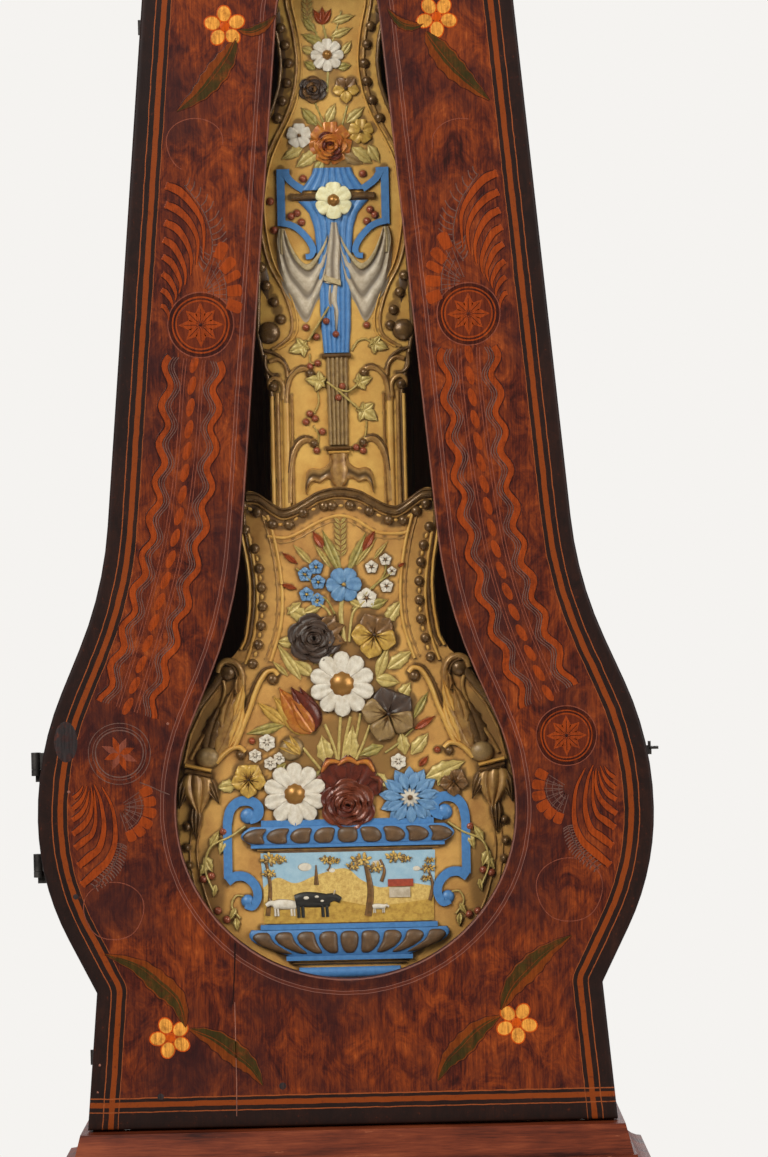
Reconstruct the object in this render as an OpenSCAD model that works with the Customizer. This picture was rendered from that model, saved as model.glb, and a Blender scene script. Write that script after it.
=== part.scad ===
// Tall case clock with a violin-shaped front, a pressed-metal pendulum and a weight-driven
// iron-cage movement. Millimetres, +Z up, the front faces -Y, the origin is on the floor.

/* [Plinth] */
// Height of the ledge that the trunk stands on
plinth_h = 430; // [380:1:480]
// Depth over the skirting, from the wall
base_depth = 290; // [285:1:320]
// Thickness of the plinth boards
plinth_t = 16; // [12:1:20]
// Height of the skirting
skirting_h = 92; // [60:1:120]
// How far the skirting stands proud of the plinth box
skirting_t = 20; // [14:1:22]
// Height of the sloping face under the ledge
fascia_h = 28; // [20:1:40]
// Radius of the hollow under that face
cove_r = 19.5; // [16:0.5:24]
// How far the sloping face flares out
fascia_flare = 7; // [4:1:10]
// How far the ledge stands out beside the door foot
ledge_side = 6; // [4:1:10]
// How far the ledge stands out in front of the door
ledge_front = 15; // [8:1:18]

/* [Violin door] */
// Width of the door at its foot
foot_w = 499; // [480:1:510]
// How far the belly stands out beyond the foot of the door, each side
belly_out = 40.5; // [36:0.5:46]
// Height of the door
door_h = 1143; // [1120:1:1180]
// Thickness of the door board
door_t = 20; // [16:1:24]
// Length of the straight edge above the foot
foot_run = 129.5; // [100:0.5:150]
// Lean of that edge, degrees
foot_lean = 5.1; // [3:0.1:7]
// Lean of the flare under the belly, degrees
flare_lean = 26.6; // [20:0.1:32]
// Radius of the belly below its widest point
belly_low_r = 250; // [230:1:270]
// Radius of the belly above its widest point
belly_high_r = 300; // [280:1:320]
// Lean of the shoulder, degrees
shoulder_lean = 23.5; // [20:0.1:27]
// Length of the straight part of the shoulder
shoulder_run = 45; // [30:1:60]
// Radius of the hollow of the neck
neck_r = 370; // [330:1:400]
// Lean of the long sides, degrees
side_lean = 5.03; // [4.5:0.01:5.5]
// Gap between a door and what it closes on
door_gap = 0.3; // [0.2:0.05:0.5]

/* [Window] */
// Radius of the round foot of the window
window_r = 160; // [140:1:170]
// Height of the middle of that round above the door foot
window_rise = 297; // [280:1:310]
// Radius of the window's shoulder
window_shoulder_r = 220; // [200:1:240]
// Lean of the window's shoulder, degrees
window_shoulder_lean = 23.3; // [20:0.1:26]
// Length of the straight part of the window's shoulder
window_run = 42.5; // [30:0.5:50]
// Radius of the hollow of the window's neck
window_neck_r = 425; // [380:1:450]
// Lean of the window's long sides, degrees
window_lean = 5.1; // [4.5:0.1:5.5]
// Height of the door above the window's arched top
window_head = 49; // [44:1:80]
// Thickness of the glass
glass_t = 2.5; // [2:0.5:4]
// Width of the rebate that holds the glass
glass_lap = 8; // [5:1:10]
// Side play of the glass in its rebate
glass_play = 0.3; // [0.2:0.1:0.5]

/* [Trunk] */
// Thickness of the bent side boards
side_t = 13; // [10:1:16]
// How far the sides stand in from the door edge
side_inset = 3; // [1:0.5:5]
// Thickness of the back boards
back_t = 12; // [10:1:16]
// Height of the rail over the door
head_h = 47; // [40:1:60]
// Thickness of the seat board
seat_t = 18; // [16:1:24]
// Diameter of a door hinge pin
hinge_pin_d = 4; // [3:0.5:5]
// Height of a door hinge knuckle
knuckle_h = 16; // [12:1:20]
// Distance between the two door hinges
hinge_span = 96; // [80:1:110]

/* [Hood] */
// How far the hood stands out from the trunk neck
hood_out = 40; // [32:1:41]
// Height of the hood from its foot to its roof
hood_h = 430; // [420:1:470]
// Thickness of the hood boards
hood_t = 14; // [12:1:18]
// Thickness of the hood's front frame
hood_front_t = 18; // [14:1:20]
// Width of the hood front beside its arched opening
hood_frame_w = 57.5; // [52:0.5:64]
// Height of that opening above the foot of the hood
hood_open_rise = 32; // [24:1:36]
// Height of that opening
hood_open_h = 352; // [330:1:362]
// Thickness of the hood door frame
hood_door_t = 12; // [10:1:14]
// How far the hood door laps over the front frame
hood_door_lap = 18; // [14:1:20]
// Width of the hood door's frame
hood_stile = 22; // [20:1:26]
// Height of the cornice
cornice_h = 42; // [34:1:50]
// How far the cornice stands out
cornice_out = 22; // [16:1:23]
// Height of the arched crest
crest_h = 84; // [60:1:110]

/* [Movement] */
// Width of the iron cage
cage_w = 232; // [220:1:250]
// Height of the iron cage
cage_h = 262; // [255:1:280]
// Height of the barrel arbors above the cage's bottom plate
barrel_rise = 58; // [56:1:64]
// Sideways distance of each train from the middle
train_x = 48; // [47.5:0.5:50]
// Radius of a rope drum
drum_r = 22.5; // [20:0.5:26]
// Length of a rope drum
drum_l = 76; // [60:1:80]
// Diameter of the weight rope
rope_d = 3; // [2:0.5:4]
// Tip radius of a great wheel
great_r = 47; // [44:0.5:47]
// Tip radius of a second or third wheel
train_r = 46; // [45:0.5:46.5]
// Tip radius of a pinion
pinion_r = 6; // [5.5:0.5:7]
// Gap between the tips of a wheel and its pinion
tip_gap = 0.3; // [0.2:0.1:0.5]
// Running clearance of a pivot in its hole
pivot_gap = 0.05; // [0.02:0.01:0.09]
// Height of the hand arbor above the cage's bottom plate
dial_rise = 160; // [158:1:165]
// Radius of the enamel dial
dial_r = 112; // [100:1:116]
// Radius of the bell
bell_r = 56; // [50:1:60]
// Radius of a weight
weight_r = 34; // [30:1:38]
// Height of a weight
weight_h = 170; // [140:1:200]

/* [Pendulum] */
// Radius of the round foot of the bell-shaped plate
bob_r = 170; // [160:1:175]
// Height of the middle of that round above the middle of the window's round
bob_rise = 2; // [-4:1:8]
// Width of the frame of rods behind the plates
rod_frame_w = 101; // [92:1:108]
// Height of that frame
rod_frame_h = 330; // [310:1:340]
// Thickness of the two pressed plates with their backing
plate_t = 4; // [3:0.5:6]
// Height of the raised ornament on the lower plate
relief = 9; // [6:0.5:11]
// Width of the pendulum's iron rods
rod_w = 9; // [7:0.5:11]
// Thickness of the pendulum's iron rods
rod_t = 4; // [3:0.5:5]

/* [Hidden] */

fine = 96;
plain = 48;
arc_step = 4;
seam = 0.3;

// A path of straight runs [length, 0], corners [0, turn] and arcs [radius, turn], from point p
// in direction h.
function walk(p, h, steps, i = 0) =
    i == len(steps) ? [p] :
    steps[i][0] == 0 ? walk(p, h + steps[i][1], steps, i + 1) :
    steps[i][1] == 0 ?
        concat([p], walk(p + steps[i][0] * [cos(h), sin(h)], h, steps, i + 1)) :
        let(side = sign(steps[i][1]), r = steps[i][0] * side, turn = steps[i][1],
            c = p + r * [-sin(h), cos(h)], n = ceil(abs(turn) / arc_step))
        concat([for (k = [0 : n - 1]) c + r * [sin(h + turn * k / n), -cos(h + turn * k / n)]],
            walk(c + r * [sin(h + turn), -cos(h + turn)], h + turn, steps, i + 1));

function unit(v) = v / norm(v);
function left_of(v) = [-v[1], v[0]];

// An open path moved to its left by d; corners keep their mitre.
function shifted(p, d) = [for (i = [0 : len(p) - 1])
    let(a = i > 0 ? unit(p[i] - p[i - 1]) : unit(p[1] - p[0]),
        b = i < len(p) - 1 ? unit(p[i + 1] - p[i]) : a,
        m = unit(left_of(a) + left_of(b)))
    p[i] + m * d / (m * left_of(a))];

function backwards(p) = [for (i = [len(p) - 1 : -1 : 0]) p[i]];
function mirrored(p) = [for (q = backwards(p)) [-q[0], q[1]]];
function both_sides(p) = concat(p, mirrored(p));

door_foot_gap = 2;
door_z = plinth_h + door_foot_gap;
door_top = door_z + door_h;
fascia_step = 3;
ledge_half = foot_w / 2 + ledge_side;
moulding_out = fascia_flare + fascia_step + cove_r;
moulding_fillet = 10;
moulding_back = 12;
moulding_h = fascia_h + cove_r + moulding_fillet;
frame_half = foot_w / 2 - side_t - 12;

back_y = base_depth / 2;
door_y = -back_y + skirting_t + moulding_out + ledge_front;
case_y = door_y + door_t + door_gap;
case_back_y = back_y - back_t;
plinth_half = ledge_half + moulding_out;
belly_w = foot_w + 2 * belly_out;
trunk_top = door_top + head_h;
plinth_y = -back_y + skirting_t;

// The violin outline, right half, from the foot up.
foot_x = foot_w / 2;
notch_x = foot_x - foot_run * sin(foot_lean);
flare_run = (belly_w / 2 - belly_low_r * (1 - cos(flare_lean)) - notch_x) / sin(flare_lean);
belly_z = door_z + foot_run * cos(foot_lean) + flare_run * cos(flare_lean)
    + belly_low_r * sin(flare_lean);
neck_z = belly_z + belly_high_r * sin(shoulder_lean) + shoulder_run * cos(shoulder_lean)
    + neck_r * (sin(shoulder_lean) - sin(side_lean));
neck_x = belly_w / 2 - belly_high_r * (1 - cos(shoulder_lean)) - shoulder_run * sin(shoulder_lean)
    - neck_r * (cos(side_lean) - cos(shoulder_lean));
function trunk_half(z) = neck_x - (z - neck_z) * tan(side_lean);

function violin(below, above) = walk(
    [foot_x + below * tan(foot_lean), door_z - below], 90 + foot_lean,
    [[below / cos(foot_lean) + foot_run, 0], [0, -foot_lean - flare_lean], [flare_run, 0],
     [belly_low_r, flare_lean], [belly_high_r, shoulder_lean], [shoulder_run, 0],
     [neck_r, side_lean - shoulder_lean], [(above - neck_z) / cos(side_lean), 0]]);

// The window outline, right half, from its foot up to the arched top.
window_z = door_z + window_rise;
window_neck_z = window_z + window_shoulder_r * sin(window_shoulder_lean)
    + window_run * cos(window_shoulder_lean)
    + window_neck_r * (sin(window_shoulder_lean) - sin(window_lean));
window_neck_x = window_r - window_shoulder_r * (1 - cos(window_shoulder_lean))
    - window_run * sin(window_shoulder_lean)
    - window_neck_r * (cos(window_lean) - cos(window_shoulder_lean));
window_top_z = door_top - window_head;
window_arch_k = (1 - sin(window_lean)) / cos(window_lean);
window_spring_z = (window_top_z - (window_neck_x + window_neck_z * tan(window_lean)) * window_arch_k)
    / (1 - tan(window_lean) * window_arch_k);
window_spring_x = window_neck_x - (window_spring_z - window_neck_z) * tan(window_lean);
window_top_r = window_spring_x / cos(window_lean);

function window(grow) = both_sides(walk([0, window_z - window_r - grow], 0,
    [[window_r + grow, 90], [window_shoulder_r + grow, window_shoulder_lean], [window_run, 0],
     [window_neck_r - grow, window_lean - window_shoulder_lean],
     [(window_spring_z - window_neck_z) / cos(window_lean), 0],
     [window_top_r + grow, 90 - window_lean]]));

seat_z = trunk_top + seat_t;
neck_foot_z = door_top + 21;
neck_half = trunk_half(neck_foot_z) - side_inset;
hood_z = seat_z;
hood_half = neck_half + hood_out;
hood_open_w = 2 * (hood_half - hood_frame_w);
hood_y = door_y - hood_out;
hood_top = hood_z + hood_h;
hood_inner = hood_half - hood_t;
cornice_z = hood_top - 12;
cornice_foot = 5;
cornice_fascia = 13;
hood_spring_z = hood_z + hood_open_rise + hood_open_h - hood_open_w / 2;
hood_door_half = hood_open_w / 2 + hood_door_lap;
hood_door_y = hood_y - door_gap - hood_door_t;

// Hinge line of the trunk door, just outside the widest part of the belly.
pin_r = hinge_pin_d / 2;
knuckle_r = pin_r + 2.5;
hinge_x = -belly_w / 2 - pin_r;
hinge_z = [belly_z - hinge_span / 2, belly_z + hinge_span / 2];
hinge_y = door_y + door_t + door_gap / 2;
function belly_half(z) = z > belly_z ?
    belly_w / 2 - belly_high_r + sqrt(pow(belly_high_r, 2) - pow(z - belly_z, 2)) :
    belly_w / 2 - belly_low_r + sqrt(pow(belly_low_r, 2) - pow(z - belly_z, 2));
catch_z = belly_z + 54;
catch_x = belly_half(catch_z) - side_inset;
catch_y = case_y + 17;
spindle_r = 3;
staple_z = [door_z + 66, door_top - 103];
hood_pin_x = -hood_door_half - 3;
hood_pin_y = hood_y - 3.2;
hood_pin_rise = 70;
hood_pin_drop = 150;
hood_pin_z = [hood_z + hood_pin_rise, hood_z + hood_h - hood_pin_drop];

// Movement
cage_z = seat_z;
cage_y0 = -14;
cage_y1 = case_back_y - 6;
cage_plate_t = 4;
bar_t = 6;
pillar_d = 12;
barrel_z = cage_z + barrel_rise;
second_z = barrel_z + great_r + pinion_r + tip_gap;
third_z = second_z + train_r + pinion_r + tip_gap;
escape_dz = sqrt(pow(train_r + pinion_r + tip_gap, 2) - pow(train_x, 2));
escape_z = third_z + escape_dz;
escape_r = 24;
anchor_z = escape_z + escape_r + 16;
dial_z = cage_z + dial_rise;
dial_y = hood_y + hood_front_t + 14;
bars_front = [cage_y0 - bar_t, cage_y0];
bars_back = [cage_y1 - bar_t, cage_y1];
great_y = bars_back[0] - 16;
second_y = great_y + 5;
third_y = second_y + 5;
drum_y = great_y - 4 - drum_l;
escape_y = cage_y0 + 22;
pivot_r = 2;
arbor_r = 3;
great_teeth = 72;
second_teeth = 64;
third_teeth = 60;
pinion_leaves = 8;
escape_teeth = 30;
minute_leaves = 12;
motion_teeth = 36;
hour_pinion_leaves = 10;
hour_teeth = 40;
rope_r = rope_d / 2;
rope_x = train_x + drum_r + rope_r + seam;
weight_y = drum_y + drum_l / 2;
weight_foot = 66;
weight_top = weight_foot + weight_h;
ring_rise = 12;
ring_r = 7;
ring_wire = 1.8;
bell_z = cage_z + cage_h + 34;
hammer_x = -bell_r - 29;
hammer_z = cage_z + cage_h - 22;
bell_y = (cage_y0 + cage_y1) / 2;
hammer_ears = [bell_y - 45, bell_y + 40];

// Motion work between the front bars and the dial
motion_r = 24;
motion_pinion_r = 8;
hour_pinion_r = 6.4;
hour_wheel_r = motion_r + motion_pinion_r - hour_pinion_r;
motion_z = dial_z - motion_r - motion_pinion_r - tip_gap;
motion_y = bars_front[0] - 2;
hand_pipe_r = 4;
surround_margin = 21;
surround_spring = 40;
hour_pipe_r = 6.5;

// Pendulum planes, from the back forward
bob_z = window_z + bob_rise;
rod_frame_foot = 60;
plate_size = bob_r / 170;
rod_y = bars_front[0] - rod_t - 10;
upper_y = rod_y - plate_t;
lower_y = upper_y - plate_t;
ear_t = 3;
crutch_y = rod_y + rod_t + ear_t + 1;
sway_z = anchor_z;
loop_r = 18;

wood = "#7a3216";
dark_wood = "#54230f";
raw_pine = "#b98b57";
iron = "#5a5550";
brass_yellow = "#c79a45";
enamel_white = "#efece2";
deep_gold = "#b58a35";

// A flat shape drawn in X and Z, from y forward edge y0 and t thick.
module slab(y0, t) {
    translate([0, y0 + t, 0]) rotate([90, 0, 0]) linear_extrude(t) children();
}

// A round bar along Y at [x, z].
module bar_y(p, r, y0, y1, sides = plain) {
    translate([p[0], y0, p[1]]) rotate([-90, 0, 0]) cylinder(h = y1 - y0, r = r, $fn = sides);
}

module block(x0, x1, y0, y1, z0, z1) {
    translate([x0, y0, z0]) cube([x1 - x0, y1 - y0, z1 - z0]);
}

// Three mitred lengths of moulding round the front and sides of a box of half width hw.
// The child is the section: out from the box along X, height along Y.
module u_moulding(hw, yf, yb) {
    reach = 80;
    tall = 4000;
    intersection() {
        linear_extrude(tall)
            polygon([[-hw, yf], [hw, yf], [hw + reach, yf - reach], [-hw - reach, yf - reach]]);
        translate([-hw - reach, yf, 0])
            rotate([90, 0, 90]) linear_extrude(2 * (hw + reach)) mirror([1, 0]) children();
    }
    for (s = [0, 1]) mirror([s, 0, 0]) intersection() {
        linear_extrude(tall)
            polygon([[hw, yf + seam], [hw + reach, yf + seam - reach], [hw + reach, yb], [hw, yb]]);
        translate([hw, yb, 0]) rotate([90, 0, 0]) linear_extrude(yb - yf + reach) children();
    }
}

// Section points of a hollow quarter round from [x, z] in to [x + r, z - r].
function cove(x, z, r) = [for (a = [0 : 15 : 90]) [x + r - r * cos(a), z - r * sin(a)]];

// A toothed wheel about Y: n square-cut teeth, pierced by round holes.
module wheel(p, r, n, y0, t, bore = 0, holes = 5) {
    deep = min(2.6, 2.2 * r / n * 3.14);
    tooth = 360 / n;
    difference() {
        slab(y0, t) translate(p) polygon([for (i = [0 : n - 1], k = [0 : 3])
            let(a = tooth * (i + [0, 0.12, 0.42, 0.54][k]), q = [r - deep, r, r, r - deep][k])
            q * [cos(a), sin(a)]]);
        if (holes > 0) for (i = [0 : holes - 1]) let(a = 360 * i / holes)
            bar_y(p + 0.56 * r * [cos(a), sin(a)], 0.2 * r, y0 - 1, y0 + t + 1);
        if (bore > 0) bar_y(p, bore, y0 - 1, y0 + t + 1);
    }
}

// An arbor with its pivots in the front and back bars.
module arbor(p, y0 = bars_front[0] + 0.5, y1 = bars_back[1] - 0.5) {
    bar_y(p, arbor_r, bars_front[1] + 0.4, bars_back[0] - 0.4);
    bar_y(p, pivot_r, y0, y1);
}

module plinth_front() color(wood)
    block(-plinth_half, plinth_half, plinth_y, plinth_y + plinth_t, 0, plinth_h - moulding_h);

module plinth_side(s) color(wood)
    block(s > 0 ? plinth_half - plinth_t : -plinth_half, s > 0 ? plinth_half : -plinth_half + plinth_t,
        plinth_y + plinth_t, case_back_y, 0, plinth_h - moulding_h);

module plinth_back() color(raw_pine) {
    block(-plinth_half, plinth_half, case_back_y, back_y, 0, plinth_h - moulding_h);
    block(-frame_half, frame_half, case_back_y, back_y, plinth_h - moulding_h - 1, plinth_h);
}

module plinth_floor() color(raw_pine)
    block(-plinth_half + plinth_t, plinth_half - plinth_t, plinth_y + plinth_t, case_back_y,
        skirting_h / 4, skirting_h / 4 + plinth_t);

module skirting() color(dark_wood) u_moulding(plinth_half, plinth_y, back_y)
    polygon([[0, 0], [skirting_t, 0], [skirting_t, skirting_h * 0.72],
        [skirting_t * 0.8, skirting_h * 0.76], [skirting_t * 0.8, skirting_h * 0.82],
        [skirting_t * 0.55, skirting_h * 0.92], [skirting_t * 0.2, skirting_h], [0, skirting_h]]);

// The ledge, the sloping fascia, a step, a hollow and a fillet, in that order downwards.
module plinth_moulding() color(wood) {
    u_moulding(frame_half, plinth_y + moulding_out + ledge_half - frame_half, back_y)
        translate([ledge_half - frame_half, 0]) polygon(concat(
            [[frame_half - ledge_half, plinth_h - plinth_t], [frame_half - ledge_half, plinth_h],
             [0, plinth_h], [fascia_flare, plinth_h - fascia_h]],
            cove(fascia_flare + fascia_step, plinth_h - fascia_h, cove_r),
            [[moulding_out, plinth_h - moulding_h], [-moulding_back, plinth_h - moulding_h],
             [-moulding_back, plinth_h - plinth_t]]));
}

// One bent side board, following the violin outline.
module trunk_side(s) color(wood) mirror([s > 0 ? 0 : 1, 0, 0]) intersection() {
    slab(case_y, case_back_y - case_y) polygon(concat(
        shifted(violin(20, trunk_top + 20), side_inset),
        backwards(shifted(violin(20, trunk_top + 20), side_inset + side_t))));
    difference() {
        block(0, belly_w, case_y - 1, case_back_y + 1, plinth_h, trunk_top);
        if (s > 0) translate([0, catch_y, catch_z]) rotate([0, 90, 0])
            cylinder(h = belly_w, r = spindle_r + pivot_gap, $fn = plain);
    }
}

module back_board() color(raw_pine) {
    slab(case_back_y, back_t) intersection() {
        polygon(both_sides(shifted(violin(20, trunk_top + 20), side_inset)));
        translate([-belly_w, plinth_h]) square([2 * belly_w, trunk_top - plinth_h]);
    }
    block(-hood_inner + 1, hood_inner - 1, case_back_y, back_y, trunk_top, hood_top - hood_t - 1);
}

// The rail over the door, with a stop behind it that the door's head closes on.
module head_rail() color(wood) {
    inner = trunk_half(trunk_top) - side_inset - side_t - 0.2;
    rail_z = door_top + 1;
    block(-inner, inner, case_y, case_y + 20, door_top - 30, trunk_top);
    slab(door_y, case_y - door_y) polygon(both_sides(
        [[0, rail_z], [trunk_half(rail_z) - side_inset, rail_z],
         [trunk_half(trunk_top) - side_inset, trunk_top], [0, trunk_top]]));
}

// Hollow moulding that carries the hood on the trunk neck.
module neck_moulding() color(dark_wood) {
    tall = hood_z - neck_foot_z - door_gap;
    lip = 6;
    u_moulding(neck_half, door_y, case_back_y)
        polygon(concat([[0, neck_foot_z + tall], [0, neck_foot_z], [lip - 2, neck_foot_z],
            [lip - 2, neck_foot_z + lip]],
            [for (a = [0 : 15 : 90])
                [lip + (hood_out - lip - 2) * (1 - cos(a)),
                 neck_foot_z + lip + 2 + (tall - 2 * lip - 2) * sin(a)]],
            [[hood_out, neck_foot_z + tall - lip], [hood_out, neck_foot_z + tall]]));
}

// The board that the movement stands on, slotted for the ropes and open for the pendulum.
module seat_board() color(raw_pine) {
    half = trunk_half(trunk_top) - side_inset;
    difference() {
        block(-half, half, case_y, case_back_y, trunk_top, seat_z);
        block(-24, 24, case_y - 1, cage_y0 + 2, trunk_top - 1, seat_z + 1);
        for (s = [-1, 1]) block(s * rope_x - 9, s * rope_x + 9, drum_y - 2, drum_y + drum_l + 2,
            trunk_top - 1, seat_z + 1);
    }
}

// Pins of the trunk door hinges on plates at the left side board, and two small staples
// near the top and the foot of that side.
module case_irons() color(iron) {
    for (z = hinge_z) {
        face = -max(belly_half(z - 12), belly_half(z)) + side_inset - 0.05;
        translate([hinge_x, hinge_y, z - 6]) cylinder(h = knuckle_h + 6, r = pin_r, $fn = plain);
        translate([hinge_x, hinge_y, z - 6]) cylinder(h = 6 - seam, r = knuckle_r, $fn = plain);
        block(hinge_x - 1, face, hinge_y + 3, hinge_y + 34, z - 12, z - seam);
    }
    for (z = staple_z) {
        face = z > belly_z ? trunk_half(z - 7) : foot_x - (z - 7 - door_z) * tan(foot_lean);
        block(-face - 3, -face + side_inset - 0.05, case_y + 4, case_y + 7, z - 7, z + 7);
    }
}

module trunk_door() color(wood) difference() {
    slab(door_y, door_t) difference() {
        polygon(both_sides(violin(0, door_top)));
        polygon(window(0));
    }
    slab(door_y + door_t - glass_t - 1, glass_t + 2) polygon(window(glass_lap));
    for (z = hinge_z) {
        translate([hinge_x, hinge_y, z - 7]) cylinder(h = knuckle_h + 8, r = knuckle_r + 0.4, $fn = plain);
        block(hinge_x, hinge_x + 46, door_y + door_t - 2, door_y + door_t + 1, z, z + knuckle_h);
    }
}

module window_glass() color("#bfd6d6", 0.4)
    slab(door_y + door_t - glass_t - 1, glass_t) polygon(window(glass_lap - glass_play));

// Knuckles with leaves let into the back of the door.
module door_hinges() color(iron) for (z = hinge_z) difference() {
    union() {
        translate([hinge_x, hinge_y, z]) cylinder(h = knuckle_h, r = knuckle_r, $fn = plain);
        block(hinge_x, hinge_x + 45, door_y + door_t - 2, door_y + door_t, z + 0.3, z + knuckle_h - 0.3);
    }
    translate([hinge_x, hinge_y, z - 1])
        cylinder(h = knuckle_h + 2, r = pin_r + pivot_gap, $fn = plain);
}

// Hooked plate on the back of the door; its lip lies just behind where the tongue turns up.
module catch_keep() color(iron) {
    x = catch_x - side_t - 12;
    back = door_y + door_t;
    block(x - 12, x + 6, back, back + 2, catch_z - 14, catch_z + 18);
    block(x - 12, x - 9, back + 1, catch_y + 7, catch_z + 6, catch_z + 14);
    block(x - 12, x + 2, catch_y + 4, catch_y + 7, catch_z + 6, catch_z + 14);
}

// Turning catch, here turned free: a tongue inside that turns up in front of the keep's lip,
// a spindle through the right side board and a winged handle.
module door_catch() color(iron) {
    translate([catch_x - side_t - 12, catch_y, catch_z]) rotate([0, 90, 0])
        cylinder(h = side_t + 20, r = spindle_r, $fn = plain);
    block(catch_x - side_t - 13, catch_x - side_t - 8, catch_y - 14.5, catch_y + 3, catch_z - 3, catch_z + 3);
    block(catch_x + 2, catch_x + 9, catch_y - 4.5, catch_y + 4.5, catch_z - 5.5, catch_z + 2);
    block(catch_x + 6, catch_x + 8.5, catch_y - 3, catch_y + 3, catch_z, catch_z + 7);
    block(catch_x + 8, catch_x + 15.5, catch_y - 6, catch_y + 6, catch_z - 0.5, catch_z + 2);
}

module hood_side(s) color(wood) block(s > 0 ? hood_inner : -hood_half, s > 0 ? hood_half : -hood_inner,
    hood_y + hood_front_t, back_y, hood_z, hood_top - hood_t);

module arched(half, foot, spring, grow = 0) {
    polygon(concat([[-half - grow, foot - grow], [half + grow, foot - grow]],
        [for (a = [0 : 5 : 180]) [0, spring] + (half + grow) * [cos(a), sin(a)]]));
}

module hood_front_frame() color(wood) slab(hood_y, hood_front_t) difference() {
    translate([-hood_half, hood_z]) square([2 * hood_half, hood_h - hood_t]);
    arched(hood_open_w / 2, hood_z + hood_open_rise, hood_spring_z);
}

module hood_roof() color(raw_pine)
    block(-hood_half, hood_half, hood_y, back_y, hood_top - hood_t, hood_top);

module hood_cornice() color(dark_wood) u_moulding(hood_half, hood_y, back_y)
    polygon(concat([[0, cornice_z], [cornice_foot, cornice_z]],
        [for (a = [0 : 15 : 90]) [cornice_foot + (cornice_out - cornice_foot - 3) * (1 - cos(a)),
            cornice_z + 7 + (cornice_h - cornice_fascia - 7) * sin(a)]],
        [[cornice_out, cornice_z + cornice_h - cornice_fascia], [cornice_out, cornice_z + cornice_h],
         [0, cornice_z + cornice_h]]));

module hood_crest() color(wood) slab(hood_y + 2, hood_t) polygon(concat(
    [[-hood_half + 8, hood_top + 0.2], [hood_half - 8, hood_top + 0.2]],
    [for (a = [0 : 5 : 180]) [(hood_half - 8) * cos(a), cornice_z + cornice_h
        + crest_h * pow(sin(a), 1.6)]]));

module hood_pintles() color(iron) for (z = hood_pin_z) {
    translate([hood_pin_x, hood_pin_y, z - 5]) cylinder(h = 17, r = 1.5, $fn = plain);
    translate([hood_pin_x, hood_pin_y, z - 5]) cylinder(h = 4.7, r = 2.7, $fn = plain);
    block(hood_pin_x - 6.5, hood_pin_x, hood_y - 2, hood_y, z - 9, z - 0.3);
}

module hood_door_frame() color(wood) difference() {
    slab(hood_door_y, hood_door_t) difference() {
        arched(hood_door_half, hood_z + hood_open_rise - hood_door_lap, hood_spring_z);
        arched(hood_door_half - hood_stile, hood_z + hood_open_rise - hood_door_lap + hood_stile,
            hood_spring_z);
    }
    slab(hood_door_y + hood_door_t - glass_t - 1, glass_t + 2)
        arched(hood_door_half - hood_stile, hood_z + hood_open_rise - hood_door_lap + hood_stile,
            hood_spring_z, glass_lap);
}

module hood_door_hinges() color(brass_yellow) for (z = hood_pin_z) difference() {
    union() {
        translate([hood_pin_x, hood_pin_y, z]) cylinder(h = 12, r = 2.9, $fn = plain);
        block(hood_pin_x, -hood_door_half, hood_door_y + 4, hood_pin_y + 2.4, z + 1, z + 11);
    }
    translate([hood_pin_x, hood_pin_y, z - 1]) cylinder(h = 14, r = 1.5 + pivot_gap, $fn = plain);
}

module hood_glass() color("#bfd6d6", 0.4) slab(hood_door_y + hood_door_t - glass_t - 1, glass_t)
    arched(hood_door_half - hood_stile, hood_z + hood_open_rise - hood_door_lap + hood_stile,
        hood_spring_z, glass_lap - glass_play);

module hood_door_knob() color(brass_yellow)
    translate([hood_door_half - hood_stile / 2, hood_door_y, hood_spring_z - 60]) rotate([90, 0, 0])
    rotate_extrude($fn = plain) polygon([[0, 0], [6, 0], [6, 1.5], [3, 2.5], [3, 5], [6, 6.5],
        [6, 9], [4, 10.5], [0, 11]]);

module cage_bottom_plate() color(iron) difference() {
    block(-cage_w / 2, cage_w / 2, bars_front[0], cage_y1, cage_z, cage_z + cage_plate_t);
    for (s = [-1, 1]) block(s * rope_x - 7, s * rope_x + 7, drum_y - 1, drum_y + drum_l + 1,
        cage_z - 1, cage_z + cage_plate_t + 1);
}

// The top plate is slotted for the hammer and carries the hammer's two bearing ears.
module cage_top_plate() color(iron) difference() {
    top = cage_z + cage_h;
    union() {
        block(-cage_w / 2, cage_w / 2, bars_front[0], cage_y1, top - cage_plate_t, top);
        for (y = hammer_ears)
            block(hammer_x - 6, hammer_x + 6, y, y + 5, hammer_z - 7, top - 1);
    }
    bar_y([hammer_x, hammer_z], arbor_r + pivot_gap, cage_y0 - 10, cage_y1 + 10);
    block(hammer_x - 14, hammer_x + 14, bell_y - 6, bell_y + 6, top - cage_plate_t - 1, top + 1);
}

module cage_pillars() color(iron) for (x = [-1, 1], y = [cage_y0 + pillar_d / 2, cage_y1 - pillar_d / 2])
    translate([x * (cage_w / 2 - pillar_d / 2), y, cage_z + cage_plate_t])
        cylinder(h = cage_h - 2 * cage_plate_t, r = pillar_d / 2, $fn = plain);

function train_points() = [[train_x, barrel_z], [train_x, second_z], [train_x, third_z],
    [-train_x, barrel_z], [-train_x, second_z], [0, escape_z], [0, anchor_z]];

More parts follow.
